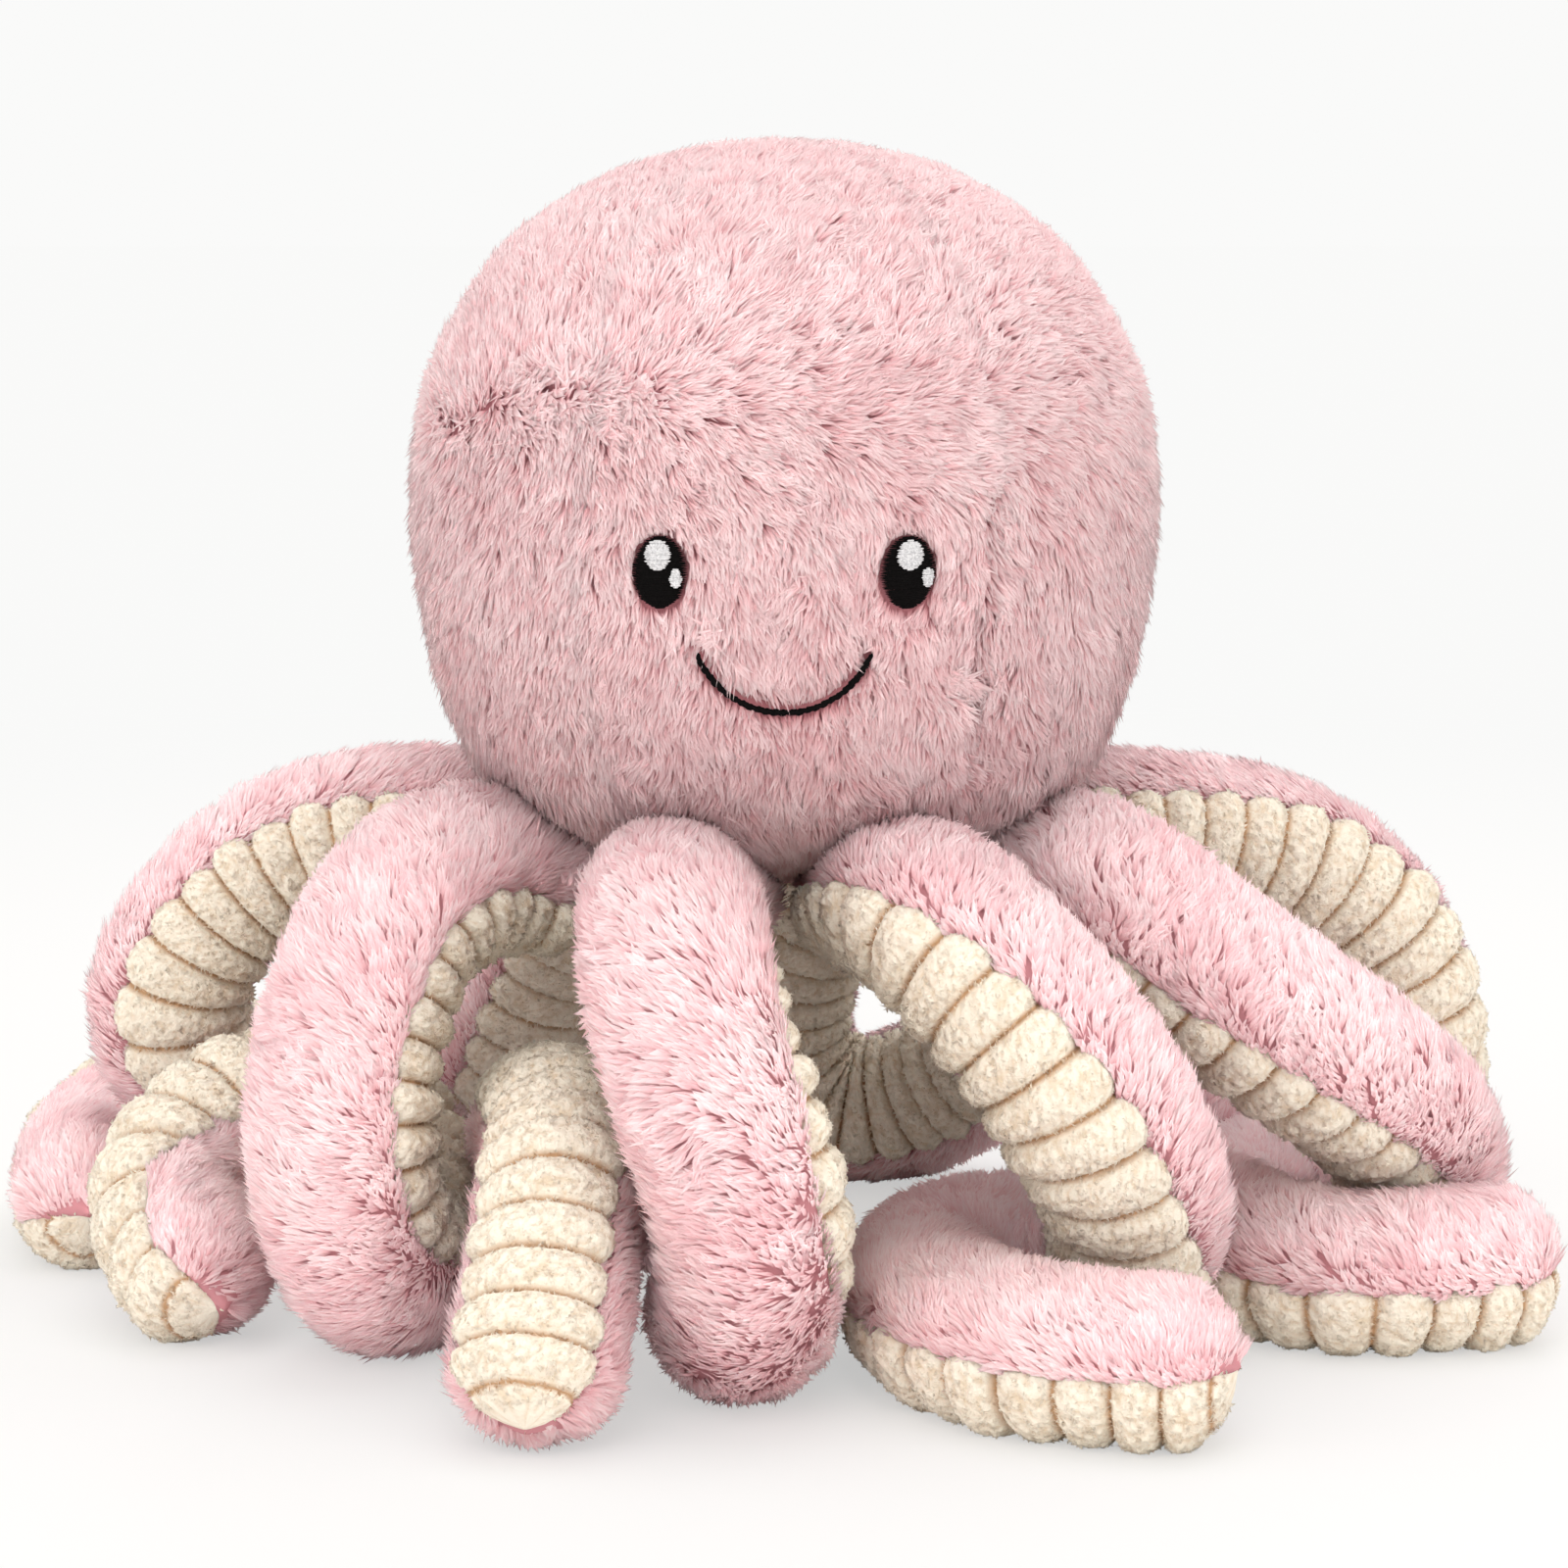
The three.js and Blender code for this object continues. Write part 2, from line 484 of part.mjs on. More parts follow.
// One ring of the underside. Its last point lies in the middle of the flat inner side.
function ribRing(station, reach, edges, inner) {
  const span = 2 * RIB_HALF_ANGLE_DEG;
  const ring = Array.from({ length: RIB_POINTS }, (_, k) => {
    const angle = -RIB_HALF_ANGLE_DEG + (span * k) / (RIB_POINTS - 1);
    return girthPoint(station, angle, reach, SPLIT_GAP / 2);
  });
  const drawIn = (1 - reach) * station.r;
  ring[0] = edges[0].clone().addScaledVector(station.side, drawIn);
  ring[RIB_POINTS - 1] = edges[1].clone().addScaledVector(station.side, -drawIn);
  return [...ring, inner];
}

function grooveRing(station) {
  const edges = seamEdges(station, SPLIT_GAP / 2);
  return ribRing(station, GROOVE_SHARE, edges, edges[0].clone().lerp(edges[1], 0.5));
}

// A rib's own ring: its inner side stays on the flats between the grooves beside it.
function crownRing(station, before, after) {
  const low = seamEdges(before, SPLIT_GAP / 2);
  const high = seamEdges(after, SPLIT_GAP / 2);
  const edges = [0, 1].map((k) => low[k].clone().lerp(high[k], 0.5));
  return ribRing(station, 1, edges, low[0].clone().lerp(high[1], 0.5));
}

// Stations that round off an end of an arm, each drawn in towards the end.
function endStations(station, direction) {
  const length = station.r * TIP_LENGTH_SHARE;
  return Array.from({ length: TIP_STEPS - 1 }, (_, k) => {
    const turn = ((k + 1) / TIP_STEPS) * (Math.PI / 2);
    return {
      ...station,
      at: station.at.clone().addScaledVector(station.along, direction * length * Math.sin(turn)),
      r: station.r * Math.cos(turn),
    };
  });
}

function endPoint(ring, station, direction) {
  const reach = TIP_LENGTH_SHARE * (1 - Math.sin(((TIP_STEPS - 1) / TIP_STEPS) * (Math.PI / 2)));
  const middle = ring.reduce((sum, p) => sum.add(p), new THREE.Vector3()).divideScalar(ring.length);
  return middle.addScaledVector(station.along, direction * station.r * reach);
}

function skinArm(rings, stations, crossed) {
  const first = stations[0];
  const last = stations[stations.length - 1];
  const start = endPoint(rings[0], first, -1);
  const end = endPoint(rings[rings.length - 1], last, 1);
  return toSolid(skinRings(rings, start, end, crossed));
}

function armPlush(stations, clearance = 0) {
  const grooves = stations.filter((_, i) => i % 2 === 0);
  const all = [
    ...endStations(stations[0], -1).reverse(),
    ...grooves,
    ...endStations(stations[stations.length - 1], 1),
  ];
  return skinArm(all.map((station) => plushRing(station, clearance)), stations, false);
}

function armRibs(stations) {
  const rings = [
    ...endStations(stations[0], -1).reverse().map(grooveRing),
    ...stations.map((station, i) => (i % 2 === 0
      ? grooveRing(station)
      : crownRing(station, stations[i - 1], stations[i + 1]))),
    ...endStations(stations[stations.length - 1], 1).map(grooveRing),
  ];
  return skinArm(rings, stations, true);
}

function floorSlab() {
  const slab = new THREE.BoxGeometry(OVERRUN * 4, OVERRUN * 4, OVERRUN);
  slab.translate(0, 0, -OVERRUN / 2);
  return toSolid(slab);
}

const armNames = Object.keys(ROUTES_SHARES);
if (armNames.length !== ARM_COUNT) throw new Error('every arm needs a route');

// Assembly.

const group = new THREE.Group();
group.name = 'plush_octopus';

function addPiece(parent, name, solid, finish) {
  const mesh = new THREE.Mesh(toGeometry(biggestBody(solid)), new THREE.MeshStandardMaterial(finish));
  mesh.name = name;
  parent.add(mesh);
}

const head = new THREE.Group();
head.name = 'head_group';
group.add(head);
addPiece(head, 'head_filling', headFilling(), FIBRE);
addPiece(head, 'head_face_panel', headPanel(-FACE_HALF_ANGLE_DEG, FACE_HALF_ANGLE_DEG), ROSE);
addPiece(head, 'head_right_panel', headPanel(FACE_HALF_ANGLE_DEG, SIDE_END_ANGLE_DEG), ROSE);
addPiece(head, 'head_back_panel', headPanel(SIDE_END_ANGLE_DEG, 360 - SIDE_END_ANGLE_DEG), ROSE);
addPiece(head, 'head_left_panel', headPanel(-SIDE_END_ANGLE_DEG, -FACE_HALF_ANGLE_DEG), ROSE);
addPiece(head, 'base_panel', basePanel(), ROSE);
addPiece(head, 'left_eye', eye(-1), BLACK);
addPiece(head, 'right_eye', eye(1), BLACK);
addPiece(head, 'left_eye_glint', glint(-1), SILVER);
addPiece(head, 'right_eye_glint', glint(1), SILVER);
addPiece(head, 'left_eye_small_glint', smallGlint(-1), SILVER);
addPiece(head, 'right_eye_small_glint', smallGlint(1), SILVER);
addPiece(head, 'smile_stitch', smile(), BLACK);

// What no arm may reach into: the head and the floor.
const taken = headSolid(FIT_GAP).add(floorSlab());

armNames.forEach((name) => {
  const arm = new THREE.Group();
  arm.name = `arm_${name}`;
  group.add(arm);
  const { stations } = armStations(name);
  const plushSpace = armPlush(stations, FIT_GAP);
  addPiece(arm, `arm_${name}_plush`, armPlush(stations).subtract(taken), PINK);
  addPiece(arm, `arm_${name}_ribs`, armRibs(stations).subtract(taken).subtract(plushSpace), CREAM);
});

// The origin is on the floor, under the middle of the whole toy.
const reach = new THREE.Box3().setFromObject(group);
const middle = reach.getCenter(new THREE.Vector3());
group.children.forEach((part) => part.position.set(-middle.x, -middle.y, 0));

export default group;
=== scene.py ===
"""Plush octopus, sitting: how its fur, ribs and embroidered face look.

Sizes are in millimetres until a mesh is made. +Z is up and the face looks along -Y.
"""

import math

import bpy
import numpy as np
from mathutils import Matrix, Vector
from mathutils.kdtree import KDTree


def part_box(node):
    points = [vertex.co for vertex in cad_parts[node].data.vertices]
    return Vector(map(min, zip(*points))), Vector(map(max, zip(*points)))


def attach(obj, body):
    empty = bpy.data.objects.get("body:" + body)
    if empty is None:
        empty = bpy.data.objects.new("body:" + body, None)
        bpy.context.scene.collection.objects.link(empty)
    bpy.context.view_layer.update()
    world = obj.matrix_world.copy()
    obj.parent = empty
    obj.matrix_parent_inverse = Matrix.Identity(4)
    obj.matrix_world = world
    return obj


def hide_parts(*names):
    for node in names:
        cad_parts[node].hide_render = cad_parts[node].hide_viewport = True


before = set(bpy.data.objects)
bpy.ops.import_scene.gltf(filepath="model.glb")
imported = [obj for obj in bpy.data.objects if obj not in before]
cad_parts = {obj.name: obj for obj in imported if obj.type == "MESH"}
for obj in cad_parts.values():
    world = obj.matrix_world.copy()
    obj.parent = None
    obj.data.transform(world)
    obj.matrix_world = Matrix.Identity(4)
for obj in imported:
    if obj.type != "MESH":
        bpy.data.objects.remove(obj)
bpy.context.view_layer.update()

MM_PER_M = 1000
BAKE_MAP = "OFBake"

# Sizes, as in the part's source.
HEAD_WIDTH, HEAD_HEIGHT, SEAM_HEIGHT, ARM_THICKNESS = 195.0, 191.0, 146.0, 45.0
HEAD_R, ARM_R = HEAD_WIDTH / 2, ARM_THICKNESS / 2
SEAM_HEIGHT_SHARE, SEAM_RADIUS_SHARE = 0.135, 0.805
EYE_HEIGHT_SHARE, SMILE_HEIGHT_SHARE = 0.46, 0.352
HEAD_BOTTOM = SEAM_HEIGHT - SEAM_HEIGHT_SHARE * HEAD_HEIGHT
HEAD_TOP = HEAD_BOTTOM + HEAD_HEIGHT
SEAM_RADIUS = SEAM_RADIUS_SHARE * HEAD_R
FLAT_DEPTH = 0.5  # how deep the floor flattens what rests on it
SPLIT_GAP = 0.6  # between an arm's sleeve and its ribs
TIP_LENGTH_SHARE = 0.8  # of an arm's radius
RIBS_PER_ARM = 23
RIB_HALF_ANGLE = math.radians(58)
EYE_WIDTH, EYE_HEIGHT, EYE_SPACING = 13.6, 18.0, 61.0
EYE_Z = HEAD_BOTTOM + EYE_HEIGHT_SHARE * HEAD_HEIGHT
SMILE_WIDTH, SMILE_DROP, SMILE_THREAD = 42.0, 14.0, 1.8
SMILE_END_Z = HEAD_BOTTOM + SMILE_HEIGHT_SHARE * HEAD_HEIGHT

# The head's panels: the azimuths from the front, to the right, where each starts and ends.
HEAD_PANELS = {"face": (-32, 32), "right": (32, 122), "back": (122, 238), "left": (-122, -32)}
# How far each seam draws the cloth in, as a share.
SEAM_DRAWS = {math.radians(-122): 0.3, math.radians(-32): 0.05, math.radians(32): 0.7, math.radians(122): 0.3}
HEAD_OUTLINE_SHARES = [
    [0, 0], [0.3, 0.004], [0.53, 0.03], [0.7, 0.075], [0.82, 0.135], [0.905, 0.22], [0.965, 0.335],
    [1, 0.5], [0.968, 0.66], [0.86, 0.78], [0.7, 0.88], [0.46, 0.955], [0.22, 0.99], [0, 1],
]
ROOT_SHARES = [[0.62, 1.28, 0.72], [0.78, 1.16, 0.86], [1.0, 1.02, 0.96]]
ROOT_ANGLES = {
    "front_right": 22.5, "right_front": 67.5, "right_rear": 112.5, "rear_right": 157.5,
    "rear_left": -157.5, "left_rear": -112.5, "left_front": -67.5, "front_left": -22.5,
}
# Each row of a route: x, y, height, thickness and the way the ribs face, all as shares.
ROUTES_SHARES = {
    "left_rear": [
        [-2.3, 0.8, 1.02, 0.98, 0.1, -0.86, -0.5], [-2.95, 0.88, 0.97, 0.96, 0.15, -0.86, -0.45],
        [-3.5, 0.9, 0.8, 0.95, 0.35, -0.87, -0.35], [-3.82, 0.92, 0.58, 0.95, 0.45, -0.88, -0.1],
        [-3.82, 1.05, 0.4, 0.96, 0.45, -0.88, 0.1], [-3.52, 1.42, 0.22, 0.96, 0.5, -0.6, 0.5],
        [-3.12, 1.82, 0.06, 0.96, 0.4, -0.1, 0.9], [-2.96, 2.34, 0.07, 0.96, 0.1, 0.2, 0.95],
        [-3.14, 2.82, 0.12, 0.95, -0.2, 0.2, 0.95], [-3.6, 3.1, 0.1, 0.94, -0.5, 0.3, 0.8],
        [-4.12, 2.92, 0.03, 0.92, -0.8, 0.2, 0.4], [-4.4, 2.4, 0, 0.9, -0.95, 0, -0.2],
        [-4.44, 1.8, 0, 0.89, -0.8, 0, -0.6], [-4.4, 1.25, 0, 0.88, -0.4, -0.1, -0.9],
        [-4.3, 0.72, 0, 0.86, -0.1, -0.2, -0.95],
    ],
    "left_front": [
        [-1.9, -0.92, 1.02, 1.0, 0.5, 0.1, -0.85], [-2.22, -1.28, 0.94, 1.02, 0.8, 0.2, -0.55],
        [-2.42, -1.58, 0.7, 1.03, 0.93, 0.25, -0.25], [-2.52, -1.76, 0.46, 1.03, 0.95, 0.3, 0],
        [-2.48, -1.78, 0.22, 1.02, 0.9, 0.4, 0.2], [-2.34, -1.48, 0.04, 1.0, 0.6, 0.4, 0.7],
        [-2.2, -1.02, -0.04, 1.0, 0.1, 0.3, 0.95], [-2.14, -0.45, 0.04, 0.98, -0.3, 0.1, 0.95],
        [-2.34, 0.1, 0.2, 0.96, -0.3, -0.2, 0.95], [-2.82, 0.22, 0.34, 0.94, -0.1, -0.5, 0.85],
        [-3.38, -0.06, 0.3, 0.93, -0.4, -0.5, 0.75], [-3.74, -0.54, 0.12, 0.9, -0.85, -0.5, 0.1],
        [-3.42, -1.02, 0, 0.88, -0.6, -0.5, -0.65],
    ],
    "front_left": [
        [-0.6, -2.2, 0.98, 1.02, 0.2, 0.6, -0.8], [-0.58, -2.55, 0.86, 1.05, 0.35, 0.85, -0.4],
        [-0.42, -2.8, 0.64, 1.06, 0.65, 0.75, 0], [-0.22, -2.88, 0.42, 1.05, 0.86, 0.5, 0],
        [-0.12, -2.8, 0.2, 1.04, 0.8, 0.45, 0.4], [-0.24, -2.42, 0, 1.02, 0.3, 0.5, 0.8],
        [-0.26, -1.82, 0, 1.0, 0.15, 0.1, 0.95], [-0.2, -1.22, 0, 0.98, 0, -0.2, 0.95],
        [-0.2, -0.66, 0.02, 0.96, 0, -0.2, 0.95], [-0.42, -0.2, 0.06, 0.94, 0, -0.1, 0.98],
        [-0.88, -0.06, 0.14, 0.94, -0.05, 0, 0.98], [-1.28, -0.34, 0.26, 0.94, -0.05, 0.2, 0.96],
        [-1.38, -0.86, 0.35, 0.94, -0.1, 0.1, 0.98], [-1.3, -1.4, 0.39, 0.94, -0.1, 0, 0.98],
        [-1.2, -1.92, 0.4, 0.94, -0.15, -0.2, 0.95], [-1.24, -2.6, 0.3, 0.93, -0.2, -0.6, 0.75],
        [-1.34, -3.18, 0, 0.92, -0.2, -0.85, 0.5],
    ],
    "front_right": [
        [0.86, -1.94, 0.97, 1.02, -0.5, -0.5, -0.7], [1.21, -2.17, 0.81, 1.06, -0.55, -0.7, -0.45],
        [1.58, -2.28, 0.62, 1.08, -0.56, -0.72, -0.4], [1.88, -2.2, 0.4, 1.06, -0.55, -0.75, -0.35],
        [2.0, -1.92, 0.2, 1.02, -0.3, -0.85, -0.4], [1.99, -1.44, 0.08, 1.0, 0, -0.4, -0.9],
        [1.78, -1.02, 0, 0.98, 0, 0.2, -0.95], [1.36, -0.84, 0, 0.97, -0.1, 0.2, -0.95],
        [0.94, -1.02, 0, 0.96, -0.4, 0.1, -0.9], [0.77, -1.46, 0, 0.95, -0.4, -0.1, -0.9],
        [0.82, -2.02, 0, 0.95, -0.4, -0.2, -0.88], [1.02, -2.58, 0, 0.95, -0.3, -0.35, -0.88],
        [1.48, -2.99, 0, 0.94, -0.1, -0.4, -0.9], [2.08, -3.1, 0, 0.92, 0, -0.4, -0.9],
    ],
    "right_front": [
        [1.9, -0.88, 0.96, 1.0, -0.2, 0, -0.95], [2.42, -1.02, 0.76, 1.02, -0.35, 0, -0.93],
        [2.92, -1.0, 0.6, 1.03, -0.35, -0.05, -0.93], [3.4, -0.8, 0.44, 1.02, -0.4, -0.1, -0.9],
        [3.76, -0.35, 0.28, 1.0, -0.4, -0.1, -0.85], [3.87, 0.15, 0.1, 0.98, -0.3, 0, -0.95],
        [3.64, 0.58, 0, 0.97, -0.1, 0.2, -0.95], [3.2, 0.75, 0, 0.96, -0.1, 0.3, -0.93],
        [2.78, 0.57, 0, 0.95, -0.3, 0.2, -0.92], [2.57, 0.1, 0, 0.95, -0.4, 0, -0.9],
        [2.57, -0.45, 0, 0.95, -0.4, -0.1, -0.9], [2.86, -0.98, 0, 0.94, -0.3, -0.3, -0.9],
        [3.35, -1.28, 0, 0.93, -0.1, -0.35, -0.93], [4.12, -1.0, 0, 0.92, 0.1, -0.35, -0.93],
    ],
    "right_rear": [
        [2.2, 0.85, 1.0, 0.98, 0, -0.9, -0.4], [2.9, 1.05, 0.94, 1.0, -0.1, -0.98, -0.15],
        [3.42, 1.2, 0.8, 1.02, 0.15, -0.98, 0], [3.78, 1.3, 0.58, 1.02, 0.5, -0.85, 0.1],
        [3.92, 1.35, 0.36, 1.0, 0.75, -0.65, 0.1], [3.86, 1.56, 0.12, 0.98, 0.8, -0.45, -0.3],
        [3.55, 1.95, 0, 0.97, 0.6, 0.1, -0.75], [3.1, 2.45, 0, 0.96, 0.2, 0.6, -0.75],
        [2.82, 3.0, 0, 0.94, 0.4, 0.3, -0.85], [2.8, 3.6, 0, 0.93, 0.4, 0.3, -0.85],
        [3.0, 4.2, 0, 0.91, 0.2, 0.4, -0.9],
    ],
    "rear_left": [
        [-0.95, 2.05, 0.92, 1.0, 0.2, -0.7, -0.7], [-1.3, 2.5, 0.7, 1.0, 0.4, -0.85, -0.3],
        [-1.6, 2.8, 0.44, 1.0, 0.5, -0.85, 0], [-1.8, 3.0, 0.2, 0.98, 0.45, -0.85, -0.2],
        [-2.05, 3.35, 0.02, 0.97, 0.35, -0.5, -0.8], [-2.3, 3.95, 0, 0.96, 0.3, -0.1, -0.95],
        [-2.0, 4.6, 0, 0.95, 0.1, 0.2, -0.95], [-1.3, 4.75, 0, 0.93, 0, 0.2, -0.95],
        [-0.75, 4.58, 0, 0.91, -0.1, 0.2, -0.95], [-0.25, 4.4, 0, 0.9, -0.1, 0.2, -0.95],
    ],
    "rear_right": [
        [0.62, 2.02, 0.96, 1.0, 0.2, -0.7, -0.7], [0.36, 2.54, 0.8, 1.0, 0.3, -0.9, -0.3],
        [-0.02, 2.86, 0.5, 1.0, 0.4, -0.9, 0], [-0.12, 3.02, 0.16, 0.98, 0.4, -0.85, 0.3],
        [0.25, 3.12, -0.03, 0.97, 0.2, -0.8, 0.5], [0.85, 3.04, 0, 0.96, -0.2, -0.85, 0.4],
        [1.36, 2.74, 0.18, 0.95, -0.5, -0.8, 0.2], [1.68, 2.24, 0.34, 0.94, -0.7, -0.5, 0.2],
        [1.8, 1.7, 0.44, 0.93, -0.8, -0.2, 0.2], [1.95, 1.15, 0.46, 0.91, -0.9, -0.2, 0.2],
    ],
}

# The pile.
SKIN_DEPTH = 2.3  # cloth under the pile, below the outline of the solids
ROOT_DEPTH = SKIN_DEPTH - 0.3
FLOOR_CLEAR = 0.25
LOCK_LENGTH, LOCK_LIFT, LOCK_WIDTH = 7.0, 3.2, 1.12
LOCKS_PER_MM2 = 2.1
MOST_LOCKS = 46500  # in one piece, so that it stays under 200 000 triangles
UNDER_SHARE, UNDER_WIDTH, UNDER_LIFT = 0.2, 2.3, 0.5  # broad low locks, to fill in under the others
WISP_SHARE, WISP_WIDTH, WISP_LIFT = 0.16, 0.4, 1.22  # thin locks that stand out
TUFT_SIZE, CURL_SIZE, SWIRL_SIZE, PATCH_SIZE = 3.4, 4, 11, 24
WHORL = 0.45  # where the pull on the pile is weaker than this, it has no way of its own to lie
WHORL_UNDER, WHORL_PALE, WHORL_LOOSE = 0.4, 0.2, 0.8
HEAD_FIELD = 100  # one seed for the lumps of all four panels, so that they go on across a seam
SEAM_MINGLE = 0.012  # radians by which the piles of two panels overlap
SEAM_WIDTH = 2.4
FUR_EDGE = math.radians(59)  # of a sleeve's pile, from the middle of the ribs
ARM_COMB_ROUND, ARM_COMB_BACK, TIP_COMB = 0.75, 0.55, 0.9

# The ribs.
RIB_PITCH = 11.3  # as in the photograph; the solids have fewer and broader ribs
RIBS_BEFORE_ROOT = 3
MOST_RIBS = 48  # on one arm, with room for its caps
RIB_EDGE = math.radians(70)  # the ribs' cloth reaches a little past the solids' seam
RIB_FLOOR, RIB_RISE = 0.79, 0.26  # shares of the radius in a crease, and from there to a rib's top
NUB_SIZE, NUB_HEIGHT = 2.0, 0.9
NAP_LENGTH, NAP_LIFT, NAP_WIDTH = 1.2, 0.75, 0.65
NAP_FIBRES = 32000
NAP_END_ROWS = 3  # with no fibres, where the cloth closes to a point

# The stitches.
SMILE_STITCHES, SMILE_OVERLAP = 26, 1.75
# Each oval: its place from the eye's middle, its size, how far its edge and its middle stand off
# the head, the thickness of its thread, how much the stitches lean, and their colour.
OVALS = {
    "eye": ((0, 0), (EYE_WIDTH, EYE_HEIGHT), (0.2, 1.5), 0.42, 0.06, "black"),
    "eye_glint": ((0, 0.25 * EYE_HEIGHT), (6.4, 7.4), (1.9, 2.4), 0.4, 0.04, "silver"),
    "eye_small_glint": (
        (0.32 * EYE_WIDTH, -0.06 * EYE_HEIGHT), (3.0, 4.8), (1.8, 2.2), 0.4, 0.04, "silver"
    ),
}

# The camera and the lamps, in metres and watts.
CAMERA_RISE, CAMERA_DISTANCE, CAMERA_AIM = math.radians(9), 1.3, 0.1406
SENSOR_WIDTH, PHOTO_PIXELS, PHOTO_PIXEL_M = 36.0, 1600, 0.000262
# Each lamp: its place, the height that it is aimed at, its size, power and tint.
LAMPS = {
    "key_light": ((-0.15, -1.4, 1.25), 0.12, 1.0, 4.9, (1.0, 0.99, 0.975)),
    "top_light": ((0.1, 0.0, 1.8), 0.1, 1.4, 7.4, (1.0, 1.0, 1.0)),
    "left_fill_light": ((-1.0, -1.1, 0.35), 0.12, 1.0, 3.3, (1.0, 0.95, 0.94)),
    "right_fill_light": ((1.1, -1.1, 0.35), 0.12, 1.0, 3.0, (1.0, 0.95, 0.94)),
    "back_light": ((0.4, 1.5, 1.2), 0.1, 1.0, 4.5, (1.0, 1.0, 1.0)),
}
WORLD_STRENGTH = 0.85
FLOOR_HALF = 6.0

LUMP_WAVES = 12
# Starts and steps that fill a square as evenly as the golden ratio fills a line.
EVEN_STARTS = np.array([0.37, 0.61])
EVEN_STEPS = np.array([0.7548776662, 0.5698402910])


# Materials


class Socket:
    """An output of a node that can be used in sums."""

    def __init__(self, nodes, out):
        self.nodes = nodes
        self.out = out

    def beside(self, name):
        """Another output of the same node."""
        return Socket(self.nodes, self.out.node.outputs[name])

    def maths(self, operation, first, second=0.0):
        return self.nodes.add("ShaderNodeMath", {"operation": operation}, {0: first, 1: second})

    def __add__(self, other):
        return self.maths("ADD", self, other)

    __radd__ = __add__

    def __sub__(self, other):
        return self.maths("SUBTRACT", self, other)

    def __rsub__(self, other):
        return self.maths("SUBTRACT", other, self)

    def __mul__(self, other):
        return self.maths("MULTIPLY", self, other)

    __rmul__ = __mul__

    def sine(self):
        return self.maths("SINE", self)

    def size(self):
        return self.maths("ABSOLUTE", self)


class Nodes:
    """A node tree. One method makes any node in it and sets or links its inputs."""

    def __init__(self, tree):
        self.tree = tree

    def put(self, socket, value):
        if isinstance(value, Socket):
            self.tree.links.new(value.out, socket)
        else:
            socket.default_value = value

    def add(self, kind, settings=None, values=None, out=0):
        node = self.tree.nodes.new(kind)
        for key, value in (settings or {}).items():
            if key == "stops":
                for place, colour in value[len(node.color_ramp.elements):]:
                    node.color_ramp.elements.new(place)
                for stop, (place, colour) in zip(node.color_ramp.elements, value):
                    stop.position = place
                    stop.color = colour
            else:
                setattr(node, key, value)
        for key, value in (values or {}).items():
            self.put(node.inputs[key], value)
        return Socket(self, node.outputs[out])


class Finish(Nodes):
    """A material, its nodes, and the constants on its own shader."""

    def __init__(self, name, **constants):
        self.material = bpy.data.materials.new(name)
        self.material.use_nodes = True
        super().__init__(self.material.node_tree)
        self.shader = self.tree.nodes["Principled BSDF"]
        self.constants(**constants)

    def constants(self, **values):
        for socket, value in values.items():
            self.shader.inputs[socket.replace("_", " ")].default_value = value

    def noise(self, size_mm, detail=2.0, roughness=0.5):
        place = self.add("ShaderNodeTexCoord", out=3)
        values = {"Vector": place, "Scale": MM_PER_M / size_mm, "Detail": detail, "Roughness": roughness}
        return self.add("ShaderNodeTexNoise", None, values)

    def bake_map(self):
        """The two parts of the mesh's own map."""
        uv = self.add("ShaderNodeUVMap", {"uv_map": BAKE_MAP})
        first = self.add("ShaderNodeSeparateXYZ", None, {0: uv})
        return first, first.beside(1)

    def ramp(self, value, stops):
        return self.add("ShaderNodeValToRGB", {"stops": stops}, {0: value})

    def mix(self, share, first, second, blend="MIX"):
        settings = {"data_type": "RGBA", "blend_type": blend}
        return self.add("ShaderNodeMix", settings, {0: share, 6: first, 7: second}, out=2)

    def colour(self, value):
        self.put(self.shader.inputs["Base Color"], value)

    def bump(self, height, distance_mm):
        values = {"Height": height, "Distance": distance_mm / MM_PER_M, "Strength": 1.0}
        self.put(self.shader.inputs["Normal"], self.add("ShaderNodeBump", None, values))

    def scatter(self, share, reach, distance):
        """Lets light spread among the fibres of a pile."""
        self.shader.subsurface_method = "BURLEY"
        self.constants(Subsurface_Weight=share, Subsurface_Radius=reach, Subsurface_Scale=distance)


def paint(code):
    """The linear colour of a hex code."""
    parts = [int(code[i : i + 2], 16) / 255 for i in (0, 2, 4)]
    return (*[p / 12.92 if p <= 0.04045 else ((p + 0.055) / 1.055) ** 2.4 for p in parts], 1.0)


def fur_finish(name, root, middle, pale, warm, weight, spread):
    """Fur: darker at a lock's root, as painted shade deep in the pile, pale at its tip, with a tone for every
    lock.
    """
    finish = Finish(name, Roughness=0.85, Sheen_Weight=0.1, Sheen_Roughness=0.45, Specular_IOR_Level=0.0)
    finish.constants(Sheen_Tint=paint("f2b6ba"))
    finish.scatter(weight, (1.0, 0.9, 0.9), spread)
    tone, along = finish.bake_map()
    root, middle, pale = paint(root), paint(middle), paint(pale)
    # Along a lock: its root dark, as painted shade deep in the pile, its tip pale.
    length = finish.ramp(along, [(0.0, root), (0.3, middle), (0.75, pale), (1.0, pale)])
    tint = finish.ramp(tone, [(0.1, warm), (0.9, (1, 0.96, 0.96, 1))])
    finish.colour(finish.mix(1.0, length, tint, "MULTIPLY"))
    return finish


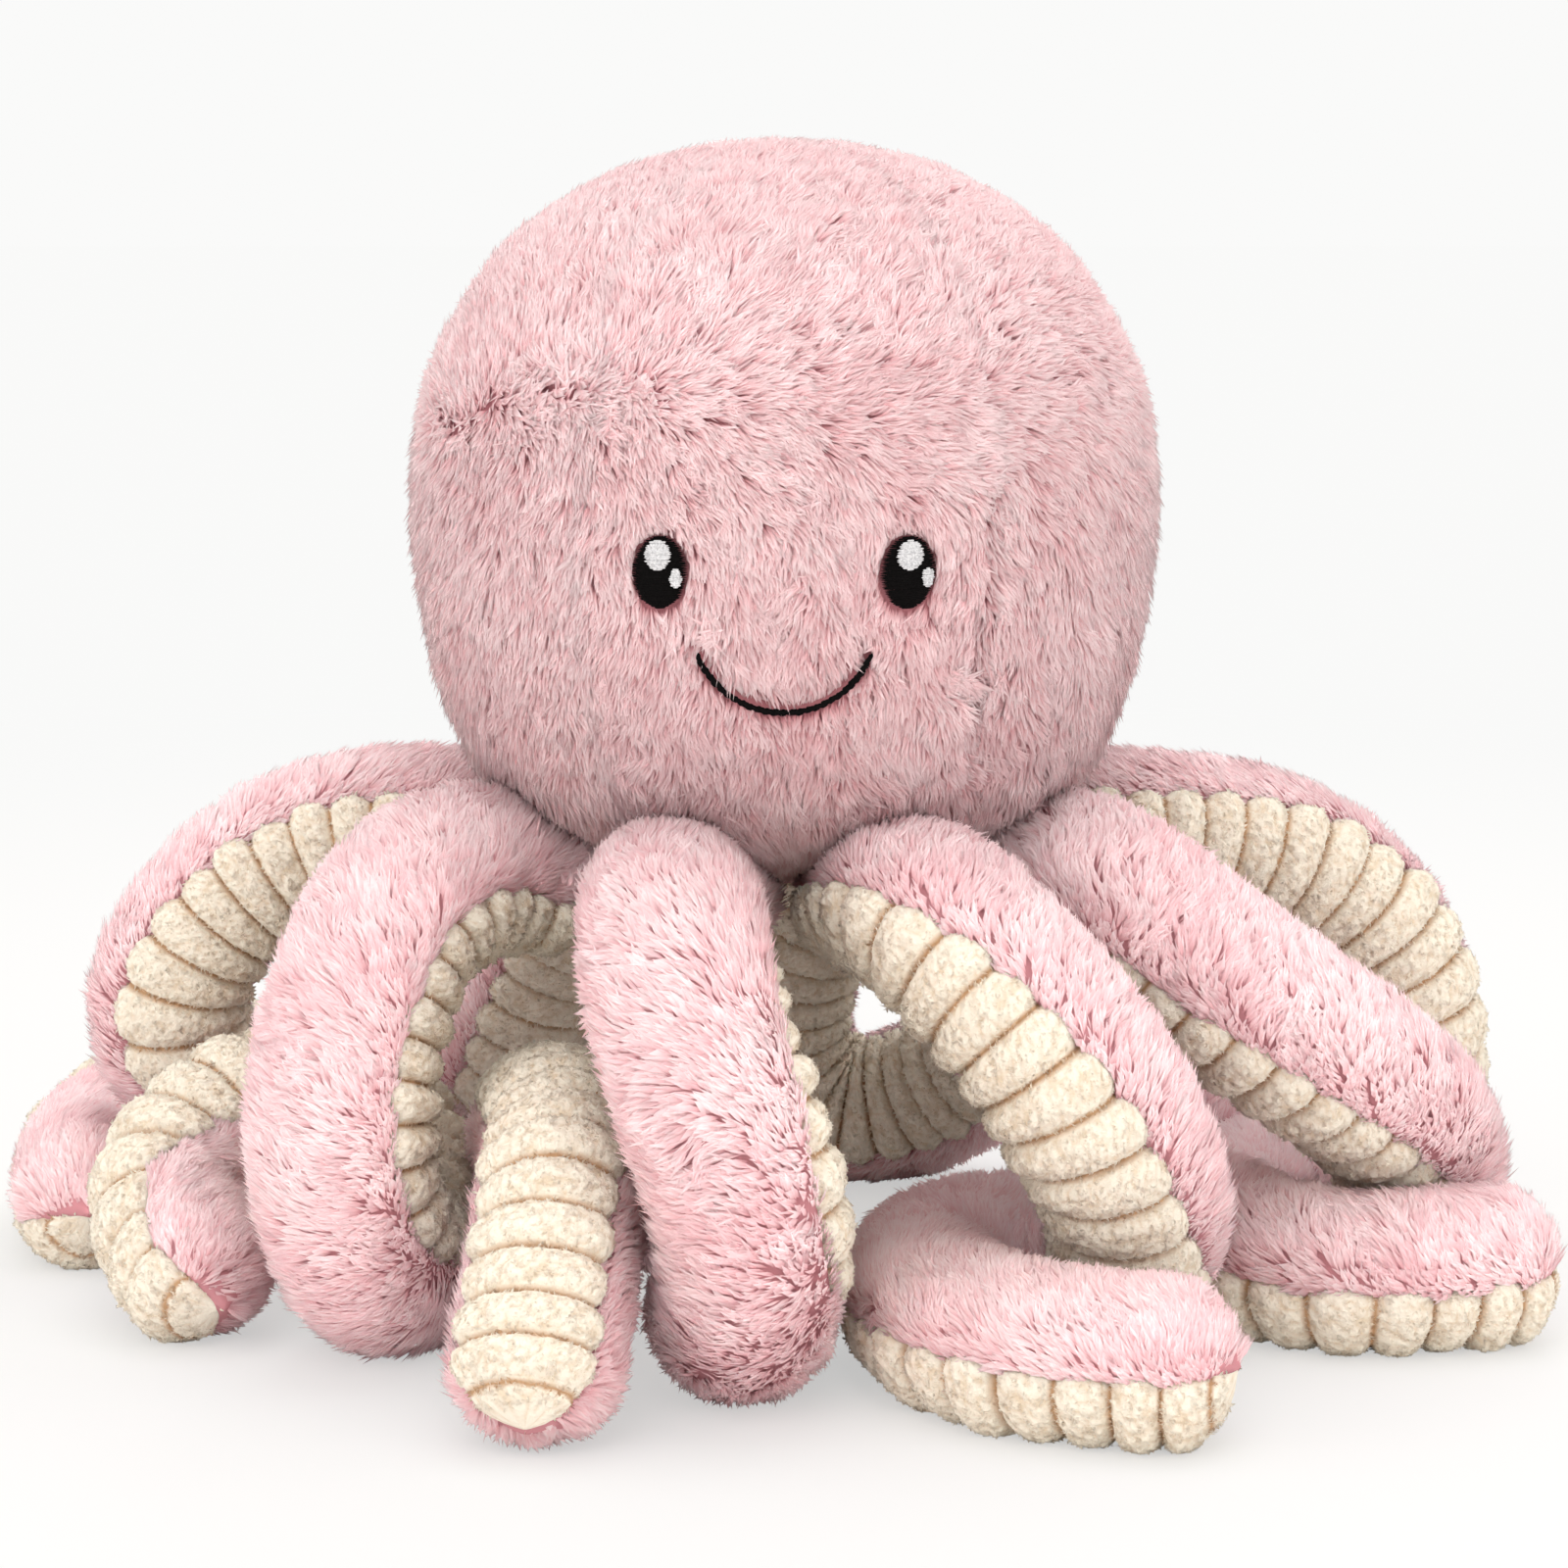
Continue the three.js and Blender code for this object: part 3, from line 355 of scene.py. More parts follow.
def nap_finish():
    """Short cream nap with pebbles of pile, painted darker between the pebbles and paler on their tops, and
    painted shade, a brown darkening, in the creases between the ribs.
    """
    finish = Finish("cream_short_nap", Roughness=0.9, Sheen_Weight=0.12, Sheen_Roughness=0.4)
    finish.constants(Specular_IOR_Level=0.05)
    finish.scatter(0.4, (1.0, 0.8, 0.7), 0.003)
    rib, pebble = finish.bake_map()
    crease = 1 - (rib * (math.pi * MOST_RIBS)).sine().size()
    nubs = pebble + finish.noise(0.7, 1.0) * 0.3 - 0.15
    # Painted shade and light: the cloth darker in the low places between the nubs, paler on their tops.
    cloth = finish.ramp(nubs, [(0.04, paint("eddcc2")), (0.3, paint("f5e9d6")), (0.7, paint("fbf3e2"))])
    # Painted shade: the creases between the ribs darkened to brown.
    shade = finish.ramp(crease, [(0.72, (0, 0, 0, 1)), (0.97, (1, 1, 1, 1))])
    finish.colour(finish.mix(shade, cloth, paint("c8a17c")))
    finish.bump(finish.noise(1.2, 2.0), 0.6)
    return finish


def thread_finish(name, dark, light, roughness, shine):
    finish = Finish(name, Roughness=roughness, Specular_IOR_Level=shine)
    strands = finish.noise(0.5, 2.0, 0.7)
    finish.colour(finish.ramp(strands, [(0.35, paint(dark)), (0.65, paint(light))]))
    finish.bump(strands, 0.15)
    return finish


def cloth_finish(name, dark, light, size_mm):
    finish = Finish(name, Roughness=0.95, Sheen_Weight=0.2, Specular_IOR_Level=0.1)
    pile = finish.noise(size_mm, 3.0, 0.6)
    finish.colour(finish.ramp(pile, [(0.3, paint(dark)), (0.7, paint(light))]))
    finish.bump(pile, size_mm * 0.5)
    return finish


# Shapes


def lumps(points, size, seed):
    """Smooth ups and downs of about -1 to 1 at points, each lump about `size` across."""
    dice = np.random.default_rng(seed)
    ways = dice.normal(size=(LUMP_WAVES, 3))
    ways /= np.linalg.norm(ways, axis=1)[:, None] * dice.uniform(1.4, 2.6, LUMP_WAVES)[:, None] * size
    turns = points @ ways.T * math.tau + dice.uniform(0, math.tau, LUMP_WAVES)
    return np.sin(turns).sum(axis=-1) / math.sqrt(LUMP_WAVES)


def drift(points, size, seed):
    """A smooth drift in every direction at points: lumps along each axis."""
    return np.stack([lumps(points, size, seed + k) for k in range(3)], axis=1)


def unit(vectors):
    return vectors / np.maximum(np.linalg.norm(vectors, axis=-1, keepdims=True), 1e-9)


def laid(ways, normals):
    """The part of each way that lies square to its normal."""
    return ways - normals * (ways * normals).sum(1, keepdims=True)


def even_pairs(count, seed):
    """Pairs of numbers from 0 to 1 that fill a square evenly."""
    return (seed * EVEN_STARTS + np.arange(1, count + 1)[:, None] * EVEN_STEPS) % 1


def whole_turn(count):
    return np.linspace(0, math.tau, count, endpoint=False)


def pairings(down, across):
    """Every pair of a place down and a place across, row by row, as two flat arrays."""
    return [places.ravel() for places in np.meshgrid(down, across, indexing="ij")]


def sheet_faces(rows, columns, wrap=False):
    """Triangles of a grid of rows and columns of points; wrap closes every row."""
    row, column = pairings(np.arange(rows - 1), np.arange(columns if wrap else columns - 1))
    a = row * columns + column
    b = row * columns + (column + 1) % columns
    c, d = b + columns, a + columns
    return np.concatenate([np.stack([a, b, c], 1), np.stack([a, c, d], 1)])


def linked(name, data):
    obj = bpy.data.objects.new(name, data)
    bpy.context.collection.objects.link(obj)
    return obj


def piece(name, arrays, finish, body, node):
    """A mesh piece that rides on a body and stands for a node of the part.

    Its arrays are its points in millimetres, triangles, map and, if it has them, normals."""
    points, triangles, uvs, *normals = arrays
    mesh = bpy.data.meshes.new(name)
    mesh.vertices.add(len(points))
    mesh.vertices.foreach_set("co", (points / MM_PER_M).astype(np.float32).ravel())
    mesh.loops.add(triangles.size)
    mesh.loops.foreach_set("vertex_index", triangles.astype(np.int32).ravel())
    mesh.polygons.add(len(triangles))
    mesh.polygons.foreach_set("loop_start", np.arange(0, triangles.size, 3, dtype=np.int32))
    mesh.update(calc_edges=True)
    mesh.polygons.foreach_set("use_smooth", np.ones(len(triangles), dtype=bool))
    layer = mesh.uv_layers.new(name=BAKE_MAP)
    layer.data.foreach_set("uv", uvs[triangles.ravel()].astype(np.float32).ravel())
    if normals:
        free = mesh.attributes.new("custom_normal", "FLOAT_VECTOR", "POINT")
        free.data.foreach_set("vector", normals[0].astype(np.float32).ravel())
    mesh.materials.append(finish.material)
    obj = linked(name, mesh)
    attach(obj, body)
    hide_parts(node)
    return obj


# Locks of fur

# A lock is a bent pointed leaf with a flat underside: root, left, right and tip.
LOCK_FACES = np.array([[0, 2, 1], [1, 2, 3], [0, 1, 3], [0, 3, 2]])
LOCK_REACH = np.array([0.0, 0.5, 0.5, 1.0])
LOCK_SIDE = np.array([0.0, -0.5, 0.5, 0.0])
LOCK_POINTS = len(LOCK_REACH)
FUR_TILT, NAP_TILT = 0.24, 0.9  # how far the normals lean along a lock


def lock_faces(count):
    return ((np.arange(count) * LOCK_POINTS)[:, None, None] + LOCK_FACES).reshape(-1, 3)


def grow(roots, normals, comb, length, lift, width, tone, dice, tilt):
    """Curved pointed locks from roots: their points, triangles, map and normals."""
    comb = unit(laid(comb, normals))
    side = np.cross(comb, normals)
    roots, normals, comb, side = (array[:, None, :] for array in (roots, normals, comb, side))
    length, lift, width = (array[:, None, None] for array in (length, lift, width))
    reach, aside = LOCK_REACH[None, :, None], LOCK_SIDE[None, :, None]
    out = reach**1.1 * length
    rise = (1 - (1 - reach) ** 1.3) * lift
    bend = dice.normal(0, 0.16, length.shape) * reach**2 * length
    points = roots + comb * out + normals * rise + side * bend + side * (aside * width)
    facing = unit(normals + side * (aside * 0.9) + comb * (tilt * (0.6 + 0.6 * reach)))
    # The map holds a lock's tone and the way along it, clear of the map's edge.
    uvs = np.stack(np.broadcast_arrays(tone[:, None], LOCK_REACH * 0.96 + 0.02), axis=2)
    return points.reshape(-1, 3), lock_faces(len(points)), uvs.reshape(-1, 2), facing.reshape(-1, 3)


def gather(roots, tips, density, share, seed):
    """Draws the tips of neighbouring locks together into tufts, and says which tuft each is in."""
    dice = np.random.default_rng(seed)
    count = max(int(len(roots) / (density * TUFT_SIZE * TUFT_SIZE)), 1)
    chosen = dice.choice(len(roots), count, replace=False)
    tree = KDTree(count)
    for i, place in enumerate(roots[chosen]):
        tree.insert(place, i)
    tree.balance()
    nearest = np.array([tree.find(place)[1] for place in roots])
    centres = tips[chosen][nearest]
    return tips + (centres - tips) * share[:, None], nearest


def fur(roots, normals, comb, seed, field, density, share, painted_light, curl=0.36, fine_curl=0.26, pull=0.28):
    """A coat of locks in tufts. share and the next argument have a number for each lock: its length, and
    painted light, lighter or darker, added to its tone.
    """
    dice = np.random.default_rng(seed)
    count = len(roots)
    swirl = drift(roots, SWIRL_SIZE, field + 1)
    fine = drift(roots, CURL_SIZE, field + 4)
    # Where the pile has no way of its own to lie, it curls every way and its underwool is thicker.
    comb = laid(comb, normals)
    strength = np.linalg.norm(comb, axis=1, keepdims=True)
    whorl = np.clip(1 - strength[:, 0] / WHORL, 0, 1)
    comb = comb / np.maximum(strength, WHORL)
    under = dice.random(count) < UNDER_SHARE + WHORL_UNDER * whorl
    fine[under] = 0
    comb = comb + swirl * np.reshape(curl, (-1, 1)) + fine * fine_curl + dice.normal(0, 0.15, (count, 3))
    comb = unit(laid(comb, normals))
    fluff = 1 + 0.12 * lumps(roots, 7, field + 8) + dice.normal(0, 0.1, count)
    lengths = LOCK_LENGTH * share * np.clip(fluff, 0.6, 1.4)
    stand = 1 + 0.2 * lumps(roots, 5, field + 9) + dice.normal(0, 0.16, count)
    lifts = LOCK_LIFT * (0.45 + 0.55 * share) * np.clip(stand, 0.4, 1.35)
    lifts *= 1 - 0.3 * np.clip(normals[:, 2], 0, 1)
    tips = roots + comb * lengths[:, None]
    pulls = np.clip(dice.normal(pull, 0.12, count), 0, 0.7) * (1 - WHORL_LOOSE * whorl)
    tips, tuft = gather(roots, tips, density, pulls, seed + 10)
    comb = laid(tips - roots, normals)
    lengths = np.linalg.norm(comb, axis=1)
    widths = LOCK_WIDTH / math.sqrt(density) * np.clip(dice.lognormal(-0.05, 0.28, count), 0.45, 1.6)
    widths[under] *= UNDER_WIDTH
    lifts[under] *= UNDER_LIFT
    wisps = (dice.random(count) < WISP_SHARE) & ~under
    widths[wisps] *= WISP_WIDTH
    lifts[wisps] *= WISP_LIFT
    tuft_tone = 0.5 * (dice.random(tuft.max() + 1)[tuft] - 0.5)
    patches = 0.16 * lumps(roots, PATCH_SIZE, field + 11) + 0.1 * lumps(roots, 9, field + 12)
    # A lock's tone: random tufts and patches, paler in a whorl, and the painted light passed in.
    tone = 0.5 + painted_light + WHORL_PALE * whorl + patches + tuft_tone + dice.normal(0, 0.2, count)
    return grow(roots, normals, comb, lengths, lifts, widths, np.clip(tone, 0.02, 0.98), dice, FUR_TILT)


def cloth_map(points, seed):
    """The map of a cloth under pile: soft patches of tone, and the colour near a lock's root, dark as painted
    shade under the pile.
    """
    tone = np.clip(0.5 + 0.1 * lumps(points, 6, seed + 30), 0, 1)
    return np.stack([tone, np.full(len(points), 0.1)], axis=1)


def coat(skin, locks):
    """One mesh's arrays from a cloth skin and the locks that grow on it."""
    points = np.concatenate([skin[0], locks[0]])
    points[:, 2] = np.maximum(points[:, 2], FLOOR_CLEAR)
    triangles = np.concatenate([skin[1], locks[1] + len(skin[0])])
    return points, triangles, np.concatenate([skin[2], locks[2]]), np.concatenate([skin[3], locks[3]])


# Head

low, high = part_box("head_filling")
AXIS = np.array([(low.x + high.x) / 2 * MM_PER_M, (low.y + high.y) / 2 * MM_PER_M, 0.0])


def head_line(rows, steps):
    """A smooth line through rows of numbers, level at its lowest point and at the crown."""
    rows = np.asarray(rows, dtype=float)
    padded = np.concatenate([rows[1:2] * [-1, 1], rows, rows[-2:-1] * [-1, 1]])
    u = (np.arange(steps) / steps)[:, None]
    parts = []
    for i in range(len(rows) - 1):
        a, b, c, d = padded[i : i + 4]
        square, cube = 2 * a - 5 * b + 4 * c - d, 3 * b - a - 3 * c + d
        parts.append(0.5 * (2 * b + (c - a) * u + square * u**2 + cube * u**3))
    return np.concatenate([*parts, rows[-1:]])


OUTLINE = head_line(HEAD_OUTLINE_SHARES, 40) * [HEAD_R, HEAD_HEIGHT] + [0, HEAD_BOTTOM]
OUTLINE[:, 0] = np.maximum(OUTLINE[:, 0], 0)
OUTLINE_WAY = unit(np.gradient(OUTLINE, axis=0))
OUTLINE_LENGTH = np.concatenate([[0], np.cumsum(np.linalg.norm(np.diff(OUTLINE, axis=0), axis=1))])
OUTLINE_TOTAL = OUTLINE_LENGTH[-1]
WIDEST_ROW = OUTLINE[:, 0].argmax()


def head_frame(length, azimuth):
    """Point, outward normal and downward way on the head's outline, for arrays."""
    r, z = (np.interp(length, OUTLINE_LENGTH, OUTLINE[:, k]) for k in (0, 1))
    way_r, way_z = (np.interp(length, OUTLINE_LENGTH, OUTLINE_WAY[:, k]) for k in (0, 1))
    sine, cosine = np.sin(azimuth), -np.cos(azimuth)
    point = np.stack([r * sine, r * cosine, z], axis=-1) + AXIS
    normal = unit(np.stack([way_z * sine, way_z * cosine, -way_r], axis=-1))
    down = -np.stack([way_r * sine, way_r * cosine, way_z], axis=-1)
    return point, normal, unit(down)


def on_head(x, z, proud):
    """A point of the head's front over a place x, z seen from the front."""
    r = np.interp(z, OUTLINE[:, 1], OUTLINE[:, 0])
    length = np.interp(z, OUTLINE[:, 1], OUTLINE_LENGTH)
    azimuth = np.arcsin(np.clip(x / r, -1, 1))
    point, normal, _ = head_frame(length, azimuth)
    return point + normal * np.asarray(proud)[..., None], normal


def depth_in_head(points):
    """How deep points are inside the head's outline; below 0 outside."""
    r = np.hypot(points[:, 0] - AXIS[0], points[:, 1] - AXIS[1])
    z = points[:, 2]
    inside = np.minimum(np.interp(z, OUTLINE[:, 1], OUTLINE[:, 0]) - r, z - HEAD_BOTTOM)
    return np.where((z > HEAD_BOTTOM) & (z < HEAD_TOP), inside, -1.0)


def seam_dip(length, azimuth):
    """How deep the seams between panels draw the cloth in, from 0 to 1."""
    r = np.interp(length, OUTLINE_LENGTH, OUTLINE[:, 0])
    dips = []
    for seam, draw in SEAM_DRAWS.items():
        away = ((azimuth - seam + math.pi) % math.tau - math.pi) * r
        dips.append(draw * np.exp(-((away / SEAM_WIDTH) ** 2)))
    # The seams are plain to see below the eyes only.
    return np.max(dips, axis=0) * np.interp(length / OUTLINE_TOTAL, [0.45, 0.6], [1, 0.15])


def seam_parting(azimuth, dip):
    """The way in which the pile parts to both sides of the seams."""
    across = np.stack([np.cos(azimuth), np.sin(azimuth), np.zeros(len(azimuth))], axis=1)
    side = [np.sign(azimuth - seam) * (np.abs(azimuth - seam) < 0.1) for seam in SEAM_DRAWS]
    return across * (np.sum(side, axis=0) * dip)[:, None]


def smile_arc():
    """The smile's radius, the height of its centre, and half its angle."""
    radius = (SMILE_WIDTH**2 / 4 + SMILE_DROP**2) / (2 * SMILE_DROP)
    return radius, SMILE_END_Z - SMILE_DROP + radius, math.asin(SMILE_WIDTH / 2 / radius)


def off_the_face(points, margin):
    """How far places are outside the embroidery, in shares of the margin, from 0 to 1."""
    x, z, front = points[:, 0] - AXIS[0], points[:, 2], points[:, 1] < AXIS[1]
    clear = np.ones(len(points))
    for side in (-1, 1):
        reach = np.hypot((x - side * EYE_SPACING / 2) / (EYE_WIDTH / 2), (z - EYE_Z) / (EYE_HEIGHT / 2))
        clear = np.minimum(clear, np.clip((reach - 1) * EYE_WIDTH / 2 / margin, 0, 1))
    radius, centre, half = smile_arc()
    angle = np.clip(np.arctan2(x, centre - z), -half, half)
    gap = np.hypot(x - radius * np.sin(angle), z - centre + radius * np.cos(angle))
    clear = np.minimum(clear, np.clip((gap - SMILE_THREAD * 0.45) / margin, 0, 1))
    return np.where(front, clear, 1.0)


def head_skin(start, end, seed):
    """The cloth of a panel, from under the head to its crown."""
    rows, columns = 90, int((end - start) * 28)
    places = pairings(np.linspace(0, OUTLINE_TOTAL, rows), np.linspace(start, end, columns))
    point, normal, _ = head_frame(*places)
    depth = SKIN_DEPTH + 0.55 * seam_dip(*places) - 0.25 * lumps(point, 9, seed)
    return point - normal * depth[:, None], sheet_faces(rows, columns), cloth_map(point, seed), normal


def head_comb(roots, down, part):
    """The pile hangs over the face, is brushed back over the crown and parts along the seams."""
    high = np.clip((roots[:, 2:] - EYE_Z + 8) / 84, 0, 1)
    high = high * high * (3 - 2 * high)
    crown = high * [0.45, 1, 0.35] + high * (1 - high) * [2.2, 0, 0]
    return down * (1 - high) + crown + drift(roots, 34, 71) * 0.2 + part * 1.6


def head_shares(roots, comb, dip):
    """How long each lock is: shorter along the seams, near the arms and by the embroidery."""
    share = (1 - 0.4 * dip) * np.interp(roots[:, 2], [HEAD_BOTTOM, HEAD_BOTTOM + 12], [0.55, 1.0])
    share = share * (0.55 + 0.45 * off_the_face(roots, 5.0))
    # A lock that heads for the embroidery stops short of it.
    for ahead in (6.0, 4.5, 3.0, 1.5):
        meets = off_the_face(roots + unit(comb) * ahead, 0.8) < 0.3
        share = np.where(meets, np.minimum(share, max(ahead - 0.7, 1.2) / LOCK_LENGTH), share)
    return share


def off_embroidery(locks):
    """The locks without those that would lie over the embroidery."""
    points, _, uvs, normals = locks
    points = points.reshape(-1, LOCK_POINTS, 3)
    kept = np.minimum.reduce([off_the_face(points[:, k], 0.8) for k in (1, 2, 3)]) >= 0.05
    uvs = uvs.reshape(-1, LOCK_POINTS, 2)[kept].reshape(-1, 2)
    normals = normals.reshape(-1, LOCK_POINTS, 3)[kept].reshape(-1, 3)
    return points[kept].reshape(-1, 3), lock_faces(kept.sum()), uvs, normals


def head_pile(start, end, seed):
    """The locks of a panel, spread evenly over its area."""
    ring = np.maximum(OUTLINE[:, 0], 0.05)
    area = np.concatenate([[0], np.cumsum((ring[1:] + ring[:-1]) / 2 * np.diff(OUTLINE_LENGTH))])
    whole = area[-1] * (end - start)
    count = min(int(whole * LOCKS_PER_MM2), MOST_LOCKS)
    pairs = even_pairs(count, seed)
    length = np.interp(pairs[:, 0] * area[-1], area, OUTLINE_LENGTH)
    azimuth = start - SEAM_MINGLE + (end - start + 2 * SEAM_MINGLE) * pairs[:, 1]
    point, normal, down = head_frame(length, azimuth)
    dip = seam_dip(length, azimuth)
    part = seam_parting(azimuth, dip)
    roots = point - normal * (ROOT_DEPTH + 0.5 * dip)[:, None]
    clear = off_the_face(roots, 1.0) > 0.02
    roots, normal, down, dip, part = (array[clear] for array in (roots, normal, down, dip, part))
    comb = head_comb(roots, down, part)
    share = head_shares(roots, comb, dip)
    heights = [HEAD_BOTTOM, EYE_Z, HEAD_TOP]
    curl = np.interp(roots[:, 2], heights, [0.4, 0.28, 0.2])
    # Painted light: paler high on the head and towards its sides, darker low down.
    painted_light = np.interp(roots[:, 2], heights, [-0.1, 0, 0.15]) + 0.3 * normal[:, 0] ** 2
    return off_embroidery(
        fur(roots, normal, comb, seed, HEAD_FIELD, count / whole, share, painted_light, curl, 0.34, 0.34)
    )


def head_panel(name, start, end, finish, seed):
    start, end = math.radians(start), math.radians(end)
    arrays = coat(head_skin(start, end, seed), head_pile(start, end, seed))
    obj = piece(f"head_{name}_fur", arrays, finish, "head", f"head_{name}_panel")
    return obj


def head_ball(finish):
    """The fibre filling, just under the panels' cloth."""
    rows, columns, depth = 40, 64, 6.4
    length, azimuth = pairings(np.linspace(0, OUTLINE_TOTAL, rows), whole_turn(columns))
    point, normal, _ = head_frame(length, azimuth)
    points = point - normal * (depth + 0.2 * lumps(point, 14, 5))[:, None]
    uvs = np.stack([azimuth / math.tau, length / OUTLINE_TOTAL], axis=1)
    arrays = points, sheet_faces(rows, columns, wrap=True), uvs
    obj = piece("head_fibre_filling", arrays, finish, "head", "head_filling")
    return obj


def base_cloth(finish):
    """The round panel under the head, puffed out and gathered along its edge."""
    low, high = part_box("base_panel")
    radius = (high.x - low.x) / 2 * MM_PER_M
    rings, columns, puff, gathers = 20, 72, 3.4, 18
    share, turn = pairings(np.linspace(0.0, 1, rings), whole_turn(columns))
    proud = 0.6 + puff * (1 - share**2.4) + 2.0 * np.cos(turn * gathers) * share**3 * (1 - share)
    length = np.interp(share * radius, OUTLINE[:WIDEST_ROW, 0], OUTLINE_LENGTH[:WIDEST_ROW])
    point, normal, _ = head_frame(length, turn)
    uvs = np.stack([0.5 + share * np.cos(turn) * 0.5, 0.5 + share * np.sin(turn) * 0.5], axis=1)
    arrays = point + normal * proud[:, None], sheet_faces(rings, columns, wrap=True), uvs
    obj = piece("base_panel_cloth", arrays, finish, "head", "base_panel")
    return obj


# Face


def strand(centre, normal, girth, flatness=1.0):
    """Points round a thread along a line on the head. girth has a row for each point of the line."""
    side = np.cross(unit(np.gradient(centre, axis=0)), normal)
    turn = whole_turn(girth.shape[1])
    across = np.sin(turn) * girth
    up = np.cos(turn) * girth * flatness
    return centre[:, None] + side[:, None] * across[..., None] + normal[:, None] * up[..., None]


def strand_map(first, second):
    return np.stack(np.broadcast_arrays(first, second), axis=2).reshape(-1, 2)


def embroidery(strands, uvs):
    """One mesh's arrays from many threads, all with as many points."""
    steps, around = strands[0].shape[:2]
    faces = sheet_faces(steps, around, wrap=True)
    triangles = np.concatenate([faces + i * steps * around for i in range(len(strands))])
    return np.concatenate(strands).reshape(-1, 3), triangles, np.concatenate(uvs)


def seed_of(name):
    return sum((i + 1) * ord(letter) for i, letter in enumerate(name))


def stitched_oval(node, eye_x, oval, finishes):
    """An oval of satin stitches that follows the head: rows of thread, domed and ragged at the edge."""
    name = f"{node}_stitches"
    dice = np.random.default_rng(seed_of(name))
    (x, z), (width, height), (low, high), thread, lean, colour = oval
    x, z = eye_x + x, EYE_Z + z
    rows, steps, around = int(height / thread), 26, 9
    u = np.linspace(-1, 1, steps)
    turn = whole_turn(around)
    strands, uvs = [], []
    for i in range(rows):
        across = (i + 0.5) / rows * 2 - 1
        half = width / 2 * math.sqrt(max(1 - across**2, 0.02)) + dice.uniform(-0.25, 0.3)
        line_x = x + half * u
        line_z = z + across * height / 2 + lean * u * half + dice.normal(0, 0.03)
        dome = np.sqrt(np.clip(1 - u**2 * 0.98, 0, 1)) * math.sqrt(max(1 - across**2 * 0.9, 0.05))
        centre, normal = on_head(line_x, line_z, low + (high - low) * dome + dice.uniform(-0.06, 0.06))
        radius = thread * 0.62 * np.sqrt(np.clip(1 - u**8, 0.02, 1))
        strands.append(strand(centre, normal, np.repeat(radius[:, None], around, axis=1), 0.8))
        uvs.append(strand_map((u[:, None] + 1) / 2, (i + 0.2 + 0.6 * turn / math.tau) / rows))
    return piece(name, embroidery(strands, uvs), finishes[colour], "head", node)


def smile(finish):
    """The smile: short slanting stitches of black thread, each over the end of the last."""
    dice = np.random.default_rng(41)
    radius, centre_z, half = smile_arc()
    steps, around = 12, 10
    u = np.linspace(-1, 1, steps)
    turn = whole_turn(around)
    strands, uvs = [], []
    for i in range(SMILE_STITCHES):
        middle = -half + 2 * half * (i + 0.5) / SMILE_STITCHES
        angle = middle + half / SMILE_STITCHES * SMILE_OVERLAP * u
        arc = radius + 0.42 * u + dice.uniform(-0.12, 0.12)
        proud = 0.75 + 0.5 * np.sqrt(np.clip(1 - u**2, 0, 1)) + dice.uniform(-0.1, 0.1)
        centre, normal = on_head(arc * np.sin(angle), centre_z - arc * np.cos(angle), proud)
        thick = SMILE_THREAD * 0.42 * dice.uniform(0.82, 1.08) * np.sqrt(np.clip(1 - u**4, 0.03, 1))
        twist = 1 + 0.12 * np.cos(3 * turn + 9 * u[:, None])
        strands.append(strand(centre, normal, twist * thick[:, None]))
        uvs.append(strand_map((i + (u[:, None] + 1) / 2) / SMILE_STITCHES, turn / math.tau))
    return piece("smile_stitches", embroidery(strands, uvs), finish, "head", "smile_stitch")


# Arms


def arm_controls(name):
    """The control points of an arm: place, radius and the way that its ribs face."""
    angle = math.radians(ROOT_ANGLES[name])
    out = np.array([math.sin(angle), -math.cos(angle)])
    route = np.array(ROUTES_SHARES[name], dtype=float)
    face = unit(route[:, 4:])
    r = route[:, 3] * ARM_R
    z = r - FLAT_DEPTH + route[:, 2] * (SEAM_HEIGHT - 2 * ARM_R)
    rest = np.column_stack([route[:, :2] * ARM_THICKNESS, z, r, face])
    roots = [
        [*(out * along * SEAM_RADIUS), SEAM_HEIGHT - under * ARM_R, thick * ARM_R, *face[0]]
        for along, under, thick in ROOT_SHARES
    ]
    return np.concatenate([roots, rest])


class Arm:
    """The smooth route of an arm and the frame across it at any length."""

    def __init__(self, name):
        rows = arm_controls(name)
        first, last = rows[0].copy(), rows[-1].copy()
        first[:3] = 2 * rows[0, :3] - rows[1, :3]
        last[:3] = 2 * rows[-1, :3] - rows[-2, :3]
        padded = np.concatenate([[first], rows, [last]])
        spans = len(rows) - 1
        t = np.linspace(0, spans, spans * 60 + 1)
        span = np.minimum(t.astype(int), spans - 1)
        u = (t - span)[:, None]
        # The weights of a cubic B-spline.
        weights = [(1 - u) ** 3, 3 * u**3 - 6 * u**2 + 4, -3 * u**3 + 3 * u**2 + 3 * u + 1, u**3]
        self.line = sum(weight / 6 * padded[span + k] for k, weight in enumerate(weights))
        steps = np.linalg.norm(np.diff(self.line[:, :3], axis=0), axis=1)
        self.length = np.concatenate([[0], np.cumsum(steps)])
        self.total = self.length[-1]
        self.step = self.total / RIBS_PER_ARM / 2
        self.ribs = round(self.total / RIB_PITCH)
        self.pitch = self.total / self.ribs

    def row(self, s, columns):
        """The first columns of the line's numbers at lengths s."""
        inside = np.clip(s, 0, self.total)
        return np.stack([np.interp(inside, self.length, self.line[:, k]) for k in range(columns)], axis=-1)

    def sample(self, s):
        """Centre, radius, ways along, up and aside, and the turn round a cap, at lengths s."""
        inside = np.clip(s, 0, self.total)
        row = self.row(s, 7)
        along = unit(self.row(inside + self.step, 3) - self.row(inside - self.step, 3))
        up = unit(laid(row[:, 4:], along))
        side = np.cross(along, up)
        # Past an end, the girth shrinks round a cap.
        past = s - inside
        turn = np.clip(past / (row[:, 3] * TIP_LENGTH_SHARE), -1, 1)
        radius = row[:, 3] * np.sqrt(np.clip(1 - turn**2, 0, 1))
        return row[:, :3] + AXIS + along * past[:, None], radius, along, up, side, turn


